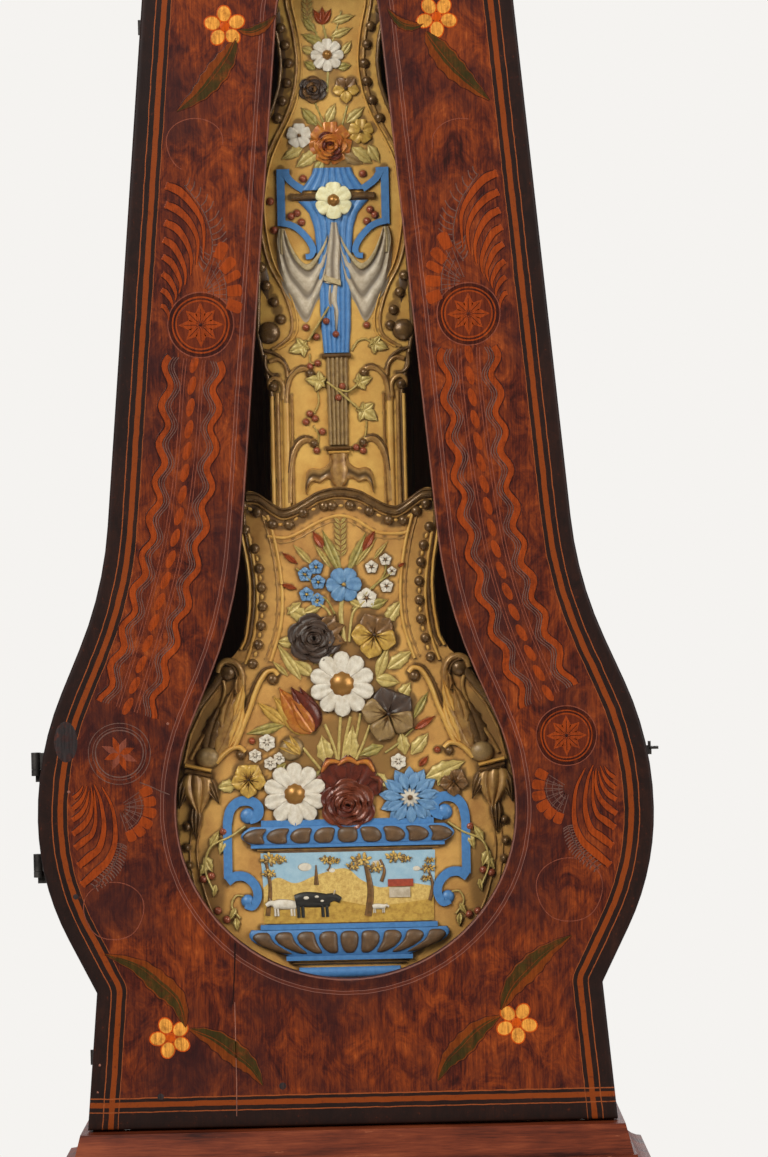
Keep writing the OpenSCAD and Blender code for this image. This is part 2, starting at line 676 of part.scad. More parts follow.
// Six upright bars that hold the arbors; studs on the front ones carry the motion work.
module train_bars() color(iron) {
    difference() {
        for (y = [bars_front[0], bars_back[0]], x = [-train_x, 0, train_x])
            block(x - 8, x + 8, y, y + bar_t, cage_z + cage_plate_t, cage_z + cage_h - cage_plate_t);
        for (p = train_points()) bar_y(p, pivot_r + pivot_gap, bars_front[0] - 1, bars_back[1] + 1);
        for (s = [-1, 1]) bar_y([s * train_x, barrel_z], 4.5 + pivot_gap, bars_front[0] - 1, bars_front[1] + 1);
    }
    bar_y([0, dial_z], pivot_r, dial_y - 12, bars_front[0] + 2);
    bar_y([0, motion_z], pivot_r, motion_y - 7, bars_front[0] + 2);
}

// Bracket on the cage; the pendulum's pin hangs between its two ears.
module suspension_cock() color(iron) difference() {
    top = cage_z + cage_h;
    union() {
        block(-16, 16, rod_y - ear_t - 0.5, cage_y0 + 20, top, top + 5);
        for (y = [rod_y - ear_t - 0.5, rod_y + rod_t + 0.5])
            block(-6, 6, y, y + ear_t, sway_z - 6, top + 1);
    }
    bar_y([0, sway_z], 2 + pivot_gap, rod_y - 20, rod_y + rod_t + 20);
}

module dial_surround() color(deep_gold) slab(dial_y + 3.3, 1.5) difference() {
    arched(dial_r + surround_margin, cage_z + 8, dial_z + surround_spring);
    translate([0, dial_z]) circle(r = hour_pipe_r + 3, $fn = plain);
    for (s = [-1, 1]) translate([s * train_x, barrel_z]) circle(r = 8, $fn = plain);
}

module enamel_dial() color(enamel_white) difference() {
    translate([0, dial_y + 3, dial_z]) rotate([90, 0, 0]) rotate_extrude($fn = fine)
        polygon([[0, 0], [dial_r, 0], [dial_r, 1], [dial_r * 0.9, 2.4], [dial_r * 0.5, 3.6], [0, 4]]);
    bar_y([0, dial_z], hour_pipe_r + 2, dial_y - 3, dial_y + 5);
    for (s = [-1, 1]) bar_y([s * train_x, barrel_z], 7, dial_y - 3, dial_y + 5);
}

module dial_feet() color(iron) for (x = [-1, 1], z = [cage_z + 30, cage_z + cage_h - 30]) {
    bar_y([x * (cage_w / 2 - 6), z], 3.5, dial_y + 4.8, bars_front[0] + 1);
    block(x * (cage_w / 2 - 6) - 6, x * (cage_w / 2 - 6) + 6, bars_front[0], cage_y0, z - 5, z + 5);
}

module hand(length, hub, eye) {
    difference() {
        union() {
            circle(r = hub, $fn = plain);
            polygon([[-2.6, 0], [2.6, 0], [1.6, length * 0.55], [0.7, length], [-0.7, length],
                [-1.6, length * 0.55]]);
            translate([0, length * 0.62]) circle(r = eye, $fn = plain);
            translate([0, length * 0.3]) circle(r = eye * 0.8, $fn = plain);
            polygon([[-1.4, 0], [-3.4, -length * 0.2], [0, -length * 0.26], [3.4, -length * 0.2], [1.4, 0]]);
        }
        translate([0, length * 0.62]) circle(r = eye * 0.55, $fn = plain);
    }
}

module hour_hand() color(brass_yellow) difference() {
    union() {
        slab(dial_y - 5, 1.4) translate([0, dial_z]) hand(62, 9, 7);
        bar_y([0, dial_z], hour_pipe_r, dial_y - 4, motion_y - 3.5);
        wheel([0, dial_z], hour_wheel_r, hour_teeth, motion_y - 6, 2.5, 0, 0);
    }
    bar_y([0, dial_z], hand_pipe_r + pivot_gap, dial_y - 9, motion_y);
}

module minute_hand() color(brass_yellow) difference() {
    union() {
        slab(dial_y - 9, 1.4) translate([0, dial_z]) hand(92, 7, 6);
        bar_y([0, dial_z], hand_pipe_r, dial_y - 9, bars_front[0] - 0.4);
        wheel([0, dial_z], motion_pinion_r, minute_leaves, motion_y - 3, 4, 0, 0);
    }
    bar_y([0, dial_z], pivot_r + pivot_gap, dial_y - 30, bars_front[0] + 1);
}

module motion_wheel() color(brass_yellow) difference() {
    union() {
        wheel([0, motion_z], motion_r, motion_teeth, motion_y - 2.5, 3, 0, 0);
        wheel([0, motion_z], hour_pinion_r, hour_pinion_leaves, motion_y - 6.5, 5, 0, 0);
    }
    bar_y([0, motion_z], pivot_r + pivot_gap, motion_y - 20, bars_front[0] + 1);
}

// Drum, its arbor and the winding square that reaches the dial.
module barrel(x) {
    p = [x, barrel_z];
    bar_y(p, drum_r, drum_y, drum_y + drum_l);
    for (y = [drum_y - 3, drum_y + drum_l]) bar_y(p, drum_r + 5, y, y + 3);
    bar_y(p, 4.5, bars_front[0] - 4, drum_y);
    bar_y(p, pivot_r, drum_y + drum_l, bars_back[1] - 0.5);
    block(x - 3, x + 3, dial_y + 1, bars_front[0], barrel_z - 3, barrel_z + 3);
}

module going_barrel() color(brass_yellow) barrel(train_x);
module strike_barrel() color(brass_yellow) barrel(-train_x);

// The great wheels turn freely on the barrel arbors and are driven through a click.
module great_wheel(x) wheel([x, barrel_z], great_r, great_teeth, great_y, 4, pivot_r + pivot_gap);
module going_great_wheel() color(brass_yellow) great_wheel(train_x);
module strike_great_wheel() color(brass_yellow) great_wheel(-train_x);

module second_wheel() color(brass_yellow) {
    p = [train_x, second_z];
    arbor(p);
    wheel(p, pinion_r, pinion_leaves, great_y - 1, 5.5, 0, 0);
    wheel(p, train_r, second_teeth, second_y, 3);
}

module third_wheel() color(brass_yellow) {
    p = [train_x, third_z];
    arbor(p);
    wheel(p, pinion_r, pinion_leaves, second_y - 1, 5.5, 0, 0);
    wheel(p, train_r, third_teeth, third_y, 3);
}

module escape_wheel() color(brass_yellow) {
    p = [0, escape_z];
    arbor(p);
    wheel(p, pinion_r, pinion_leaves, third_y - 1, 5, 0, 0);
    slab(escape_y, 2.5) translate(p) polygon([for (i = [0 : escape_teeth - 1], k = [0 : 1])
        let(a = 360 / escape_teeth * (i + 0.2 * k)) [escape_r, escape_r - 5][k] * [cos(a), sin(a)]]);
}

// Two pallets over the escape wheel, and the crutch that drives the pendulum rod.
module anchor() color(iron) {
    p = [0, anchor_z];
    arbor(p, crutch_y);
    slab(escape_y - 1, 4.5) {
        translate(p) circle(r = 7, $fn = plain);
        for (s = [-1, 1]) polygon([p + [0, 5], p + [s * 24, -4], p + [s * 23, -16],
            p + [s * 17, -21], p + [s * 17.5, -13], p + [0, -5]]);
    }
    block(-4, 4, crutch_y, crutch_y + 2.5, anchor_z - 34, anchor_z + 5);
    bar_y([0, anchor_z - 30], 1.4, rod_y - 0.2, crutch_y + 1);
}

module pin_wheel() color(brass_yellow) {
    p = [-train_x, second_z];
    arbor(p);
    wheel(p, pinion_r, pinion_leaves, great_y - 1, 5.5, 0, 0);
    wheel(p, train_r, second_teeth, second_y, 3);
    for (a = [0 : 45 : 315]) bar_y(p + (train_r - 10) * [cos(a), sin(a)], 1.6, second_y + 2, second_y + 8, 24);
}

module bell() color("#b7a27a") translate([0, bell_y, bell_z]) rotate_extrude($fn = fine)
    polygon([[3.2, bell_r * 0.62], [bell_r * 0.6, bell_r * 0.56], [bell_r * 0.9, bell_r * 0.28], [bell_r, 0],
        [bell_r - 2.5, 0], [bell_r * 0.86, bell_r * 0.25], [bell_r * 0.57, bell_r * 0.5],
        [3.2, bell_r * 0.56]]);

module bell_stand() color(iron) {
    top = bell_z + bell_r * 0.62;
    translate([0, bell_y, cage_z + cage_h]) cylinder(h = top + 7 - cage_z - cage_h, r = 2.9, $fn = plain);
    translate([0, bell_y, top + 0.2]) cylinder(h = 5, r = 6, $fn = 6);
    translate([0, bell_y, cage_z + cage_h]) cylinder(h = bell_z + bell_r * 0.56 - cage_z - cage_h - 0.2, r = 6,
        $fn = plain);
}

// Hammer on a short arbor under the cage's top plate, its head beside the bell's rim.
module bell_hammer() color(iron) {
    p = [hammer_x, hammer_z];
    bar_y(p, arbor_r, hammer_ears[0] - 3, hammer_ears[1] + 8);
    slab(bell_y - 2, 4)
        polygon([p + [-3, 0], p + [3, 0], [-bell_r - 12, bell_z + 4], [-bell_r - 16, bell_z + 4]]);
    translate([-bell_r - 19, bell_y, bell_z + 5]) rotate([0, 90, 0]) cylinder(h = 16, r = 7, $fn = plain);
}

// Iron rods from the suspension down to the bob, opening into a ring round the hand arbor.
module pendulum_rod() color(iron) {
    frame_z = bob_z - rod_frame_foot;
    slab(rod_y, rod_t) difference() {
        union() {
            translate([-rod_w / 2, dial_z + loop_r]) square([rod_w, sway_z + 4 - dial_z - loop_r]);
            translate([0, dial_z]) circle(r = loop_r + 5, $fn = fine);
            translate([-rod_w / 2, frame_z]) square([rod_w, dial_z - loop_r - frame_z]);
            for (s = [-1, 1]) translate([s * (rod_frame_w - rod_w) / 2 - rod_w / 2, frame_z])
                square([rod_w, rod_frame_h]);
            for (z = [0, (rod_frame_h - rod_w) / 2, rod_frame_h - rod_w])
                translate([-rod_frame_w / 2, frame_z + z]) square([rod_frame_w, rod_w]);
        }
        translate([0, dial_z]) circle(r = loop_r, $fn = fine);
        translate([-1.7, anchor_z - 33]) square([3.4, 6]);
    }
    bar_y([0, sway_z], 2, rod_y - ear_t - 0.5, rod_y + rod_t + ear_t + 0.5);
}

// Right half of each pressed plate, as [half width, height above the bob's middle] at plate_size 1.
upper_half = [[0, 251], [62, 251], [65, 282], [64, 389], [70, 419], [76, 449], [70, 481], [64, 519],
    [74, 551], [72, 581], [58, 621], [46, 659], [41, 689], [40, 709], [44, 739], [46, 769],
    [40, 804], [22, 825], [8, 841], [0, 859]];
lower_crest = [[158, 69], [146, 94], [124, 119], [96, 137], [86, 159], [82, 193], [85, 231],
    [90, 269], [96, 293], [86, 303], [70, 293], [54, 281], [36, 289], [18, 300], [0, 303]];
upper_bosses = [[0, 632, 17], [0, 707, 14]];
flowers = [[-50, 12, 26], [0, 2, 23], [59, 8, 26], [0, 115, 28], [39, 84, 24], [-28, 160, 21],
    [26, 162, 20], [0, 209, 15]];

// A place on a pressed plate.
module on_plate(x, y, z) {
    translate([x * plate_size, y, bob_z + z * plate_size]) children();
}

module upper_pendulum_plate() color(deep_gold) {
    slab(upper_y, plate_t) translate([0, bob_z]) polygon(both_sides(upper_half * plate_size));
    slab(upper_y - relief / 2, relief / 2 + 1) translate([0, bob_z]) scale(plate_size) {
        translate([0, 539]) polygon([[-34, 30], [34, 30], [18, -40], [-18, -40]]);
        translate([-12, 329]) square([24, 170]);
        for (s = [-1, 1]) translate([s * 65, 449]) circle(r = 9, $fn = plain);
    }
    for (f = upper_bosses) on_plate(f[0], upper_y, f[1]) rotate([90, 0, 0])
        cylinder(h = relief * 0.7, r = f[2] * plate_size, $fn = plain);
}

// Bell-shaped plate with its vase, its flowers and its bead borders.
module lower_pendulum_plate() color(deep_gold) {
    slab(lower_y, plate_t) translate([0, bob_z]) polygon(both_sides(concat(
        [for (a = [-90 : 5 : 15]) bob_r * [cos(a), sin(a)]], lower_crest * plate_size)));
    slab(lower_y - relief * 0.6, relief * 0.6 + 1) translate([0, bob_z]) scale(plate_size) {
        polygon([[-83, -44], [83, -44], [80, -109], [-80, -109]]);
        polygon([[-98, -17], [98, -17], [92, -35], [-92, -35]]);
        polygon([[-99, -115], [99, -115], [56, -144], [-56, -144]]);
        for (s = [-1, 1]) translate([s * 99 - 4, -73]) square([8, 60]);
    }
    for (f = flowers) on_plate(f[0], lower_y, f[1]) rotate([90, 0, 0])
        cylinder(h = relief, r1 = f[2] * plate_size, r2 = f[2] * plate_size * 0.45, $fn = plain);
    for (s = [-1, 1], i = [0 : 7]) on_plate(s * (73 + 5 * pow((i - 3.5) / 3.5, 2)), lower_y, 153 + 17 * i)
        rotate([90, 0, 0]) cylinder(h = relief * 0.4, r = 4 * plate_size, $fn = 24);
}

module weight(x) {
    translate([x, weight_y, weight_foot]) rotate_extrude($fn = fine)
        polygon([[0, 0], [weight_r - 4, 0], [weight_r, 4], [weight_r, weight_h - 16],
            [weight_r * 0.55, weight_h - 4], [3, weight_h], [3, weight_h + 6], [0, weight_h + 6]]);
    translate([x, weight_y, weight_top + ring_rise]) rotate([90, 0, 0]) rotate_extrude($fn = plain)
        translate([ring_r, 0]) circle(r = ring_wire, $fn = 24);
}

module going_weight() color("#3b3836") weight(rope_x);
module strike_weight() color("#3b3836") weight(-rope_x);

// The rope from the drum down to the weight's ring.
module rope(x) {
    foot = weight_top + ring_rise + ring_r + ring_wire + seam;
    translate([x, weight_y, foot]) cylinder(h = barrel_z - foot, r = rope_r, $fn = 12);
}

module going_rope() color("#b59a6a") rope(rope_x);
module strike_rope() color("#b59a6a") rope(-rope_x);

plinth_front();
plinth_side(-1);  // plinth_side_left
plinth_side(1);  // plinth_side_right
plinth_back();
plinth_floor();
skirting();
plinth_moulding();
trunk_side(-1);  // trunk_side_left
trunk_side(1);  // trunk_side_right
back_board();
head_rail();
neck_moulding();
seat_board();
case_irons();
trunk_door();
window_glass();
door_hinges();
catch_keep();
door_catch();
hood_side(-1);  // hood_side_left
hood_side(1);  // hood_side_right
hood_front_frame();
hood_roof();
hood_cornice();
hood_crest();
hood_pintles();
hood_door_frame();
hood_door_hinges();
hood_glass();
hood_door_knob();
cage_bottom_plate();
cage_top_plate();
cage_pillars();
train_bars();
suspension_cock();
dial_surround();
enamel_dial();
dial_feet();
hour_hand();
minute_hand();
motion_wheel();
going_barrel();
going_great_wheel();
second_wheel();
third_wheel();
escape_wheel();
anchor();
strike_barrel();
strike_great_wheel();
pin_wheel();
bell();
bell_stand();
bell_hammer();
pendulum_rod();
upper_pendulum_plate();
lower_pendulum_plate();
going_weight();
strike_weight();
going_rope();
strike_rope();
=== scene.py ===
import math
import random

import bmesh
import bpy
import numpy as np
from mathutils import Matrix, Vector


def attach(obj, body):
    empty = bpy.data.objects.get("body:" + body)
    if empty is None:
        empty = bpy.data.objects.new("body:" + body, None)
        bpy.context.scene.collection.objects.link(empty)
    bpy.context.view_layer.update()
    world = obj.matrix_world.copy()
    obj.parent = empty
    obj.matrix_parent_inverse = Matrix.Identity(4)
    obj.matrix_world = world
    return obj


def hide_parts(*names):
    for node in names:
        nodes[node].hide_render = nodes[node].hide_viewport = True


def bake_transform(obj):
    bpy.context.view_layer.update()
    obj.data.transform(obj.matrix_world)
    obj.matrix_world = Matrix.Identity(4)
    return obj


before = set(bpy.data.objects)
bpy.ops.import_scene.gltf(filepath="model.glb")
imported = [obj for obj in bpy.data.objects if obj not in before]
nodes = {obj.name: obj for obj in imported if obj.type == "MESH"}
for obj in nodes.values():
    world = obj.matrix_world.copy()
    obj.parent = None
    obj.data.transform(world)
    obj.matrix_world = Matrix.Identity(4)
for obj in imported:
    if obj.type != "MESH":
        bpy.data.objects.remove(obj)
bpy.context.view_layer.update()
mm = 0.001


def linear(hexColour):
    # "#rrggbb" in sRGB to linear RGBA
    values = [int(hexColour[i:i + 2], 16) / 255 for i in (1, 3, 5)]
    return tuple(v / 12.92 if v <= 0.04045 else ((v + 0.055) / 1.055) ** 2.4 for v in values) + (1.0,)


def perMetre(sizeMm):
    # texture scale that gives features of about this size
    return 1000.0 / sizeMm


def socket(sockets, key):
    return sockets[key] if isinstance(key, int) else next(s for s in sockets if s.name == key and s.enabled)


def addNode(tree, kind, settings=None, links=None):
    # one node, its settings, and its inputs: a node or a socket is linked, anything else is set
    node = tree.nodes.new(kind)
    for name, value in (settings or {}).items():
        setattr(node, name, value)
    for key, value in (links or {}).items():
        target = socket(node.inputs, key)
        if isinstance(value, bpy.types.Node):
            value = next(s for s in value.outputs if s.enabled)
        if isinstance(value, bpy.types.NodeSocket):
            tree.links.new(value, target)
        else:
            target.default_value = value
    return node


def rampOf(tree, factor, stops, mode="LINEAR"):
    ramp = addNode(tree, "ShaderNodeValToRGB", None, {"Fac": factor})
    ramp.color_ramp.interpolation = mode
    points = ramp.color_ramp.elements
    while len(points) < len(stops):
        points.new(0.5)
    for point, (position, colour) in zip(points, stops):
        point.position = position
        point.color = linear(colour) if isinstance(colour, str) else tuple(colour) + (1.0,)
    return ramp


def noise(tree, place, sizeMm, detail, roughness=0.5, distortion=0.0):
    return addNode(tree, "ShaderNodeTexNoise", None, {"Vector": place, "Scale": perMetre(sizeMm), "Detail": detail,
        "Roughness": roughness, "Distortion": distortion})


def ranged(tree, value, fromMin=0.0, fromMax=1.0, toMin=0.0, toMax=1.0):
    return addNode(tree, "ShaderNodeMapRange", None, {"Value": value, "From Min": fromMin, "From Max": fromMax,
        "To Min": toMin, "To Max": toMax})


def combine(tree, operation, *values):
    return addNode(tree, "ShaderNodeMath", {"operation": operation}, dict(enumerate(values)))


def mixed(tree, factor, a, b, blend="MIX"):
    # colours are sockets or "#rrggbb"
    a, b = (linear(c) if isinstance(c, str) else c for c in (a, b))
    node = addNode(tree, "ShaderNodeMix", {"data_type": "RGBA", "blend_type": blend},
        {"Factor": factor, "A": a, "B": b})
    return socket(node.outputs, "Result")


def nodeTree(name, floats=(), vectors=()):
    # geometry tree with these inputs, and the node that gives them
    tree = bpy.data.node_groups.new(name, "GeometryNodeTree")
    tree.interface.new_socket("Geometry", in_out="INPUT", socket_type="NodeSocketGeometry")
    for kind, inputs in (("NodeSocketFloat", floats), ("NodeSocketVector", vectors)):
        for label in inputs:
            tree.interface.new_socket(label, in_out="INPUT", socket_type=kind)
    tree.interface.new_socket("Geometry", in_out="OUTPUT", socket_type="NodeSocketGeometry")
    return tree, tree.nodes.new("NodeGroupInput")


def addObject(name, data):
    piece = bpy.data.objects.new(name, data)
    bpy.context.collection.objects.link(piece)
    return piece


def newMaterial(name):
    material = bpy.data.materials.new(name)
    material.use_nodes = True
    tree = material.node_tree
    shader = tree.nodes["Principled BSDF"]
    place = tree.nodes.new("ShaderNodeTexCoord").outputs["Object"]
    return material, tree, shader, place


# camera and light
camera = {"place": (0.041, -3.58, 0.945), "roll": -1.32, "lens": 115.8, "sensor": 36.0}
eye = addObject("camera", bpy.data.cameras.new("camera"))
eye.data.lens = camera["lens"]
eye.data.sensor_width = camera["sensor"]
eye.matrix_world = (Matrix.Translation(camera["place"]) @ Matrix.Rotation(math.pi / 2, 4, "X")
    @ Matrix.Rotation(math.radians(camera["roll"]), 4, "Z"))
bpy.context.scene.camera = eye
bpy.context.scene.view_settings.view_transform = "Standard"

lamps = {
    "key": {"place": (-2.4, -3.4, 3.3), "aim": (0, 0, 1.0), "size": 2.2, "power": 250},
    "fill": {"place": (3.0, -2.6, 1.8), "aim": (0, 0, 0.9), "size": 2.4, "power": 120},
    "back": {"place": (0.6, 3.2, 3.0), "aim": (0, 0, 1.2), "size": 2.4, "power": 70},
}
for name, lamp in lamps.items():
    light = addObject(name, bpy.data.lights.new(name, "AREA"))
    light.data.size = lamp["size"]
    light.data.energy = lamp["power"]
    toward = Vector(lamp["aim"]) - Vector(lamp["place"])
    light.location = lamp["place"]
    light.rotation_euler = toward.to_track_quat("-Z", "Y").to_euler()

studio = {"backdrop": "#f5f3f0", "front": "#4c4a48", "around": "#c9cace", "strength": 0.75, "floor": "#d3d0cc",
    "floorRadius": 1.4}
world = bpy.data.worlds.new("studio")
bpy.context.scene.world = world
world.use_nodes = True
tree = world.node_tree
tree.nodes.clear()
direction = addNode(tree, "ShaderNodeTexCoord").outputs["Generated"]
towardFront = addNode(tree, "ShaderNodeSeparateXYZ", None, {0: direction})
shade = ranged(tree, towardFront.outputs["Y"], -1.0, 0.2, 0.0, 1.0)
surround = mixed(tree, shade, studio["front"], studio["around"])
paths = addNode(tree, "ShaderNodeLightPath")
seen = combine(tree, "MAXIMUM", paths.outputs["Is Camera Ray"], paths.outputs["Is Transmission Ray"])
lit = addNode(tree, "ShaderNodeBackground", None, {"Color": surround, "Strength": studio["strength"]})
plain = addNode(tree, "ShaderNodeBackground", None, {"Color": linear(studio["backdrop"]), "Strength": 1.0})
both = addNode(tree, "ShaderNodeMixShader", None, {"Fac": seen, 1: lit, 2: plain})
addNode(tree, "ShaderNodeOutputWorld", None, {"Surface": both})

bm = bmesh.new()
bmesh.ops.create_circle(bm, cap_ends=True, segments=96, radius=studio["floorRadius"])
floorMesh = bpy.data.meshes.new("floor")
bm.to_mesh(floorMesh)
bm.free()
floor = addObject("floor", floorMesh)
paper, tree, shader, place = newMaterial("matt_floor_paper")
shader.inputs["Roughness"].default_value = 0.9
mottle = noise(tree, place, 30, 4.0)
tint = mixed(tree, mottle.outputs["Fac"], studio["floor"], "#d8d5d1")
tree.links.new(tint, shader.inputs["Base Color"])
floorMesh.materials.append(paper)
print("camera and light ready")


# finishes for the wood, the metal and the glass
def wood(name, dark, mid, light, grain, gloss, scratches=0.0):
    # boards: long figure along the grain, pores a millimetre wide, pale rubbed scratches on a varnished face
    material, tree, shader, place = newMaterial(name)
    stretch = {"x": (0.06, 1, 1), "y": (1, 0.06, 1), "z": (1, 1, 0.06)}[grain]
    along = addNode(tree, "ShaderNodeMapping", None, {"Vector": place, "Scale": stretch})
    figure = noise(tree, along, 22, 6.0, 0.62, 0.6)
    pores = noise(tree, along, 1.6, 3.0, 0.7)
    patches = noise(tree, place, 60, 3.0)
    grainy = combine(tree, "MULTIPLY_ADD", pores.outputs["Fac"], 0.42, figure.outputs["Fac"])
    shifted = combine(tree, "MULTIPLY_ADD", patches.outputs["Fac"], 0.3, grainy)
    body = rampOf(tree, shifted, [(0.62, dark), (0.82, mid), (1.0, light)])
    colour = body.outputs["Color"]
    if scratches:
        lines = noise(tree, along, 4.5, 5.0, 0.8)
        rubbed = ranged(tree, lines.outputs["Fac"], 0.66, 0.72, toMax=scratches)
        colour = mixed(tree, rubbed, colour, "#b06a48")
    tree.links.new(colour, shader.inputs["Base Color"])
    shader.inputs["Specular IOR Level"].default_value = 0.2
    rough = ranged(tree, figure.outputs["Fac"], toMin=gloss - 0.08, toMax=gloss + 0.12)
    tree.links.new(rough.outputs[0], shader.inputs["Roughness"])
    dents = addNode(tree, "ShaderNodeBump", None, {"Strength": 0.25, "Distance": 0.3 * mm, "Height": grainy})
    tree.links.new(dents.outputs[0], shader.inputs["Normal"])
    return material


def metal(name, colour, shade, roughness, metallic=1.0, hammered=0.15, patchMm=14):
    # bare or blackened metal: patches of tarnish, and a surface that the hammer or the file left uneven
    material, tree, shader, place = newMaterial(name)
    tarnish = noise(tree, place, patchMm, 5.0)
    marks = noise(tree, place, 2.5, 3.0)
    spread = ranged(tree, tarnish.outputs["Fac"], 0.35, 0.65)
    body = mixed(tree, spread, colour, shade)
    tree.links.new(body, shader.inputs["Base Color"])
    shader.inputs["Metallic"].default_value = metallic
    rough = ranged(tree, tarnish.outputs["Fac"], toMin=roughness - 0.1, toMax=roughness + 0.15)
    tree.links.new(rough.outputs[0], shader.inputs["Roughness"])
    dents = addNode(tree, "ShaderNodeBump", None, {"Strength": hammered, "Distance": 0.5 * mm,
        "Height": marks.outputs["Fac"]})
    tree.links.new(dents.outputs[0], shader.inputs["Normal"])
    return material


redPine = {axis: wood("varnished_pine_grain_" + axis, "#2c0f08", "#5e2713", "#7a3a1e", axis, 0.38, 0.7)
           for axis in "xyz"}  # old red-brown varnish, rubbed pale along its scratches
rawPine = {axis: wood("raw_pine_grain_" + axis, "#7a5c3a", "#a88556", "#c4a06c", axis, 0.62)
           for axis in "xyz"}  # unfinished softwood gone brown with age
blackedPine = wood("blackened_pine", "#120c0a", "#1d1411", "#2e1f18", "x", 0.45)  # thin black paint over pine
iron = metal("wrought_iron_oiled", "#4a4642", "#2b2826", 0.55, 0.85, 0.35)  # forged bars, dark and dull
cast = metal("cast_iron_painted", "#33312f", "#1f1e1d", 0.62, 0.3, 0.3, 30)  # rough cast weights
yellowBrass = metal("brass_old_satin", "#b08a45", "#7d6232", 0.38)  # brass with a brown bloom
bellMetal = metal("bell_metal_turned", "#a89572", "#7f6d4c", 0.32)  # greyer than brass, turned smooth

enamel, tree, shader, place = newMaterial("white_vitreous_enamel")  # glassy and faintly cream
clouds = noise(tree, place, 35, 3.0)
cream = mixed(tree, clouds.outputs["Fac"], "#efece2", "#e2ddcf")
tree.links.new(cream, shader.inputs["Base Color"])
shader.inputs["Roughness"].default_value = 0.12

glass, tree, shader, place = newMaterial("window_glass_hand_blown")  # thin, clear, faintly uneven
tree.nodes.remove(shader)
waves = noise(tree, place, 90, 1.0)
uneven = addNode(tree, "ShaderNodeBump", None, {"Strength": 0.1, "Distance": 1 * mm, "Height": waves.outputs["Fac"]})
sheen = addNode(tree, "ShaderNodeBsdfGlossy", None, {"Color": linear("#ffffff"), "Roughness": 0.03,
    "Normal": uneven.outputs[0]})
clear = addNode(tree, "ShaderNodeBsdfTransparent", None, {"Color": linear("#f7f8f6")})
glance = addNode(tree, "ShaderNodeFresnel", None, {"IOR": 1.45})
faces = addNode(tree, "ShaderNodeNewGeometry").outputs["Backfacing"]
lampRay = addNode(tree, "ShaderNodeLightPath").outputs["Is Shadow Ray"]
inside = combine(tree, "MAXIMUM", faces, lampRay)
shining = combine(tree, "SUBTRACT", 1.0, inside)
mirrored = combine(tree, "MULTIPLY", glance, shining)
pane = addNode(tree, "ShaderNodeMixShader", None, {"Fac": mirrored, 1: clear, 2: sheen})
tree.links.new(pane.outputs[0], tree.nodes["Material Output"].inputs["Surface"])

nodeFinish = {
    "plinth_front": redPine["x"], "plinth_side_left": redPine["y"], "plinth_side_right": redPine["y"],
    "plinth_back": rawPine["x"], "plinth_floor": rawPine["x"], "skirting": blackedPine,
    "plinth_moulding": redPine["x"], "trunk_side_left": redPine["z"], "trunk_side_right": redPine["z"],
    "back_board": rawPine["z"], "head_rail": redPine["x"], "neck_moulding": redPine["x"], "seat_board": rawPine["x"],
    "case_irons": iron, "window_glass": glass, "door_hinges": iron, "catch_keep": iron, "door_catch": iron,
    "hood_side_left": redPine["z"], "hood_side_right": redPine["z"], "hood_front_frame": redPine["z"],
    "hood_roof": rawPine["x"], "hood_cornice": redPine["x"], "hood_crest": redPine["x"], "hood_pintles": iron,
    "hood_door_frame": redPine["z"], "hood_door_hinges": yellowBrass, "hood_glass": glass,
    "hood_door_knob": yellowBrass, "cage_bottom_plate": iron, "cage_top_plate": iron, "cage_pillars": iron,
    "train_bars": iron, "suspension_cock": iron, "dial_surround": yellowBrass, "enamel_dial": enamel,
    "dial_feet": iron, "hour_hand": yellowBrass, "minute_hand": yellowBrass, "motion_wheel": yellowBrass,
    "going_barrel": yellowBrass, "going_great_wheel": yellowBrass, "second_wheel": yellowBrass,
    "third_wheel": yellowBrass, "escape_wheel": yellowBrass, "anchor": iron, "strike_barrel": yellowBrass,
    "strike_great_wheel": yellowBrass, "pin_wheel": yellowBrass, "bell": bellMetal, "bell_stand": iron,
    "bell_hammer": iron, "pendulum_rod": iron, "going_weight": cast, "strike_weight": cast,
}
for name, finish in nodeFinish.items():
    slots = nodes[name].material_slots
    for slot in slots:
        slot.link = "OBJECT"
        slot.material = finish
print("finishes on the plain pieces")


# raised forms
def smoothPath(points, steps=6, closed=False):
    # curve through every point
    points = [Vector(p) for p in points]
    count = len(points)
    path = []
    for i in range(count if closed else count - 1):
        a, b, c, d = [points[(i + k) % count] if closed else points[min(max(i + k, 0), count - 1)]
            for k in (-1, 0, 1, 2)]
        for k in range(steps):
            t = k / steps
            path.append(0.5 * (2 * b + (c - a) * t + (2 * a - 5 * b + 4 * c - d) * t * t
                + (3 * b - a - 3 * c + d) * t ** 3))
    return path if closed else path + [points[-1]]


sink = -0.4  # mm that each raised form reaches into what carries it
roundSection = [(-1, 0), (-0.86, 0.5), (-0.5, 0.87), (0, 1), (0.5, 0.87), (0.86, 0.5), (1, 0)]
leafSection = [(-1, 0), (-0.88, 0.5), (-0.5, 0.95), (-0.14, 0.8), (0, 0.5), (0.14, 0.8), (0.5, 0.95), (0.88, 0.5),
    (1, 0)]
petalSection = [(-1, 0), (-0.9, 0.85), (-0.62, 1), (-0.2, 0.68), (0, 0.6), (0.2, 0.68), (0.62, 1), (0.9, 0.85),
    (1, 0)]
pansySection = [(-1, 0), (-0.97, 0.3), (-0.85, 0.8), (-0.6, 1), (-0.2, 0.72), (0, 0.62), (0.2, 0.72), (0.6, 1),
    (0.85, 0.8), (0.97, 0.3), (1, 0)]
flatSection = [(-1, 0), (-0.94, 1), (0, 1), (0.94, 1), (1, 0)]
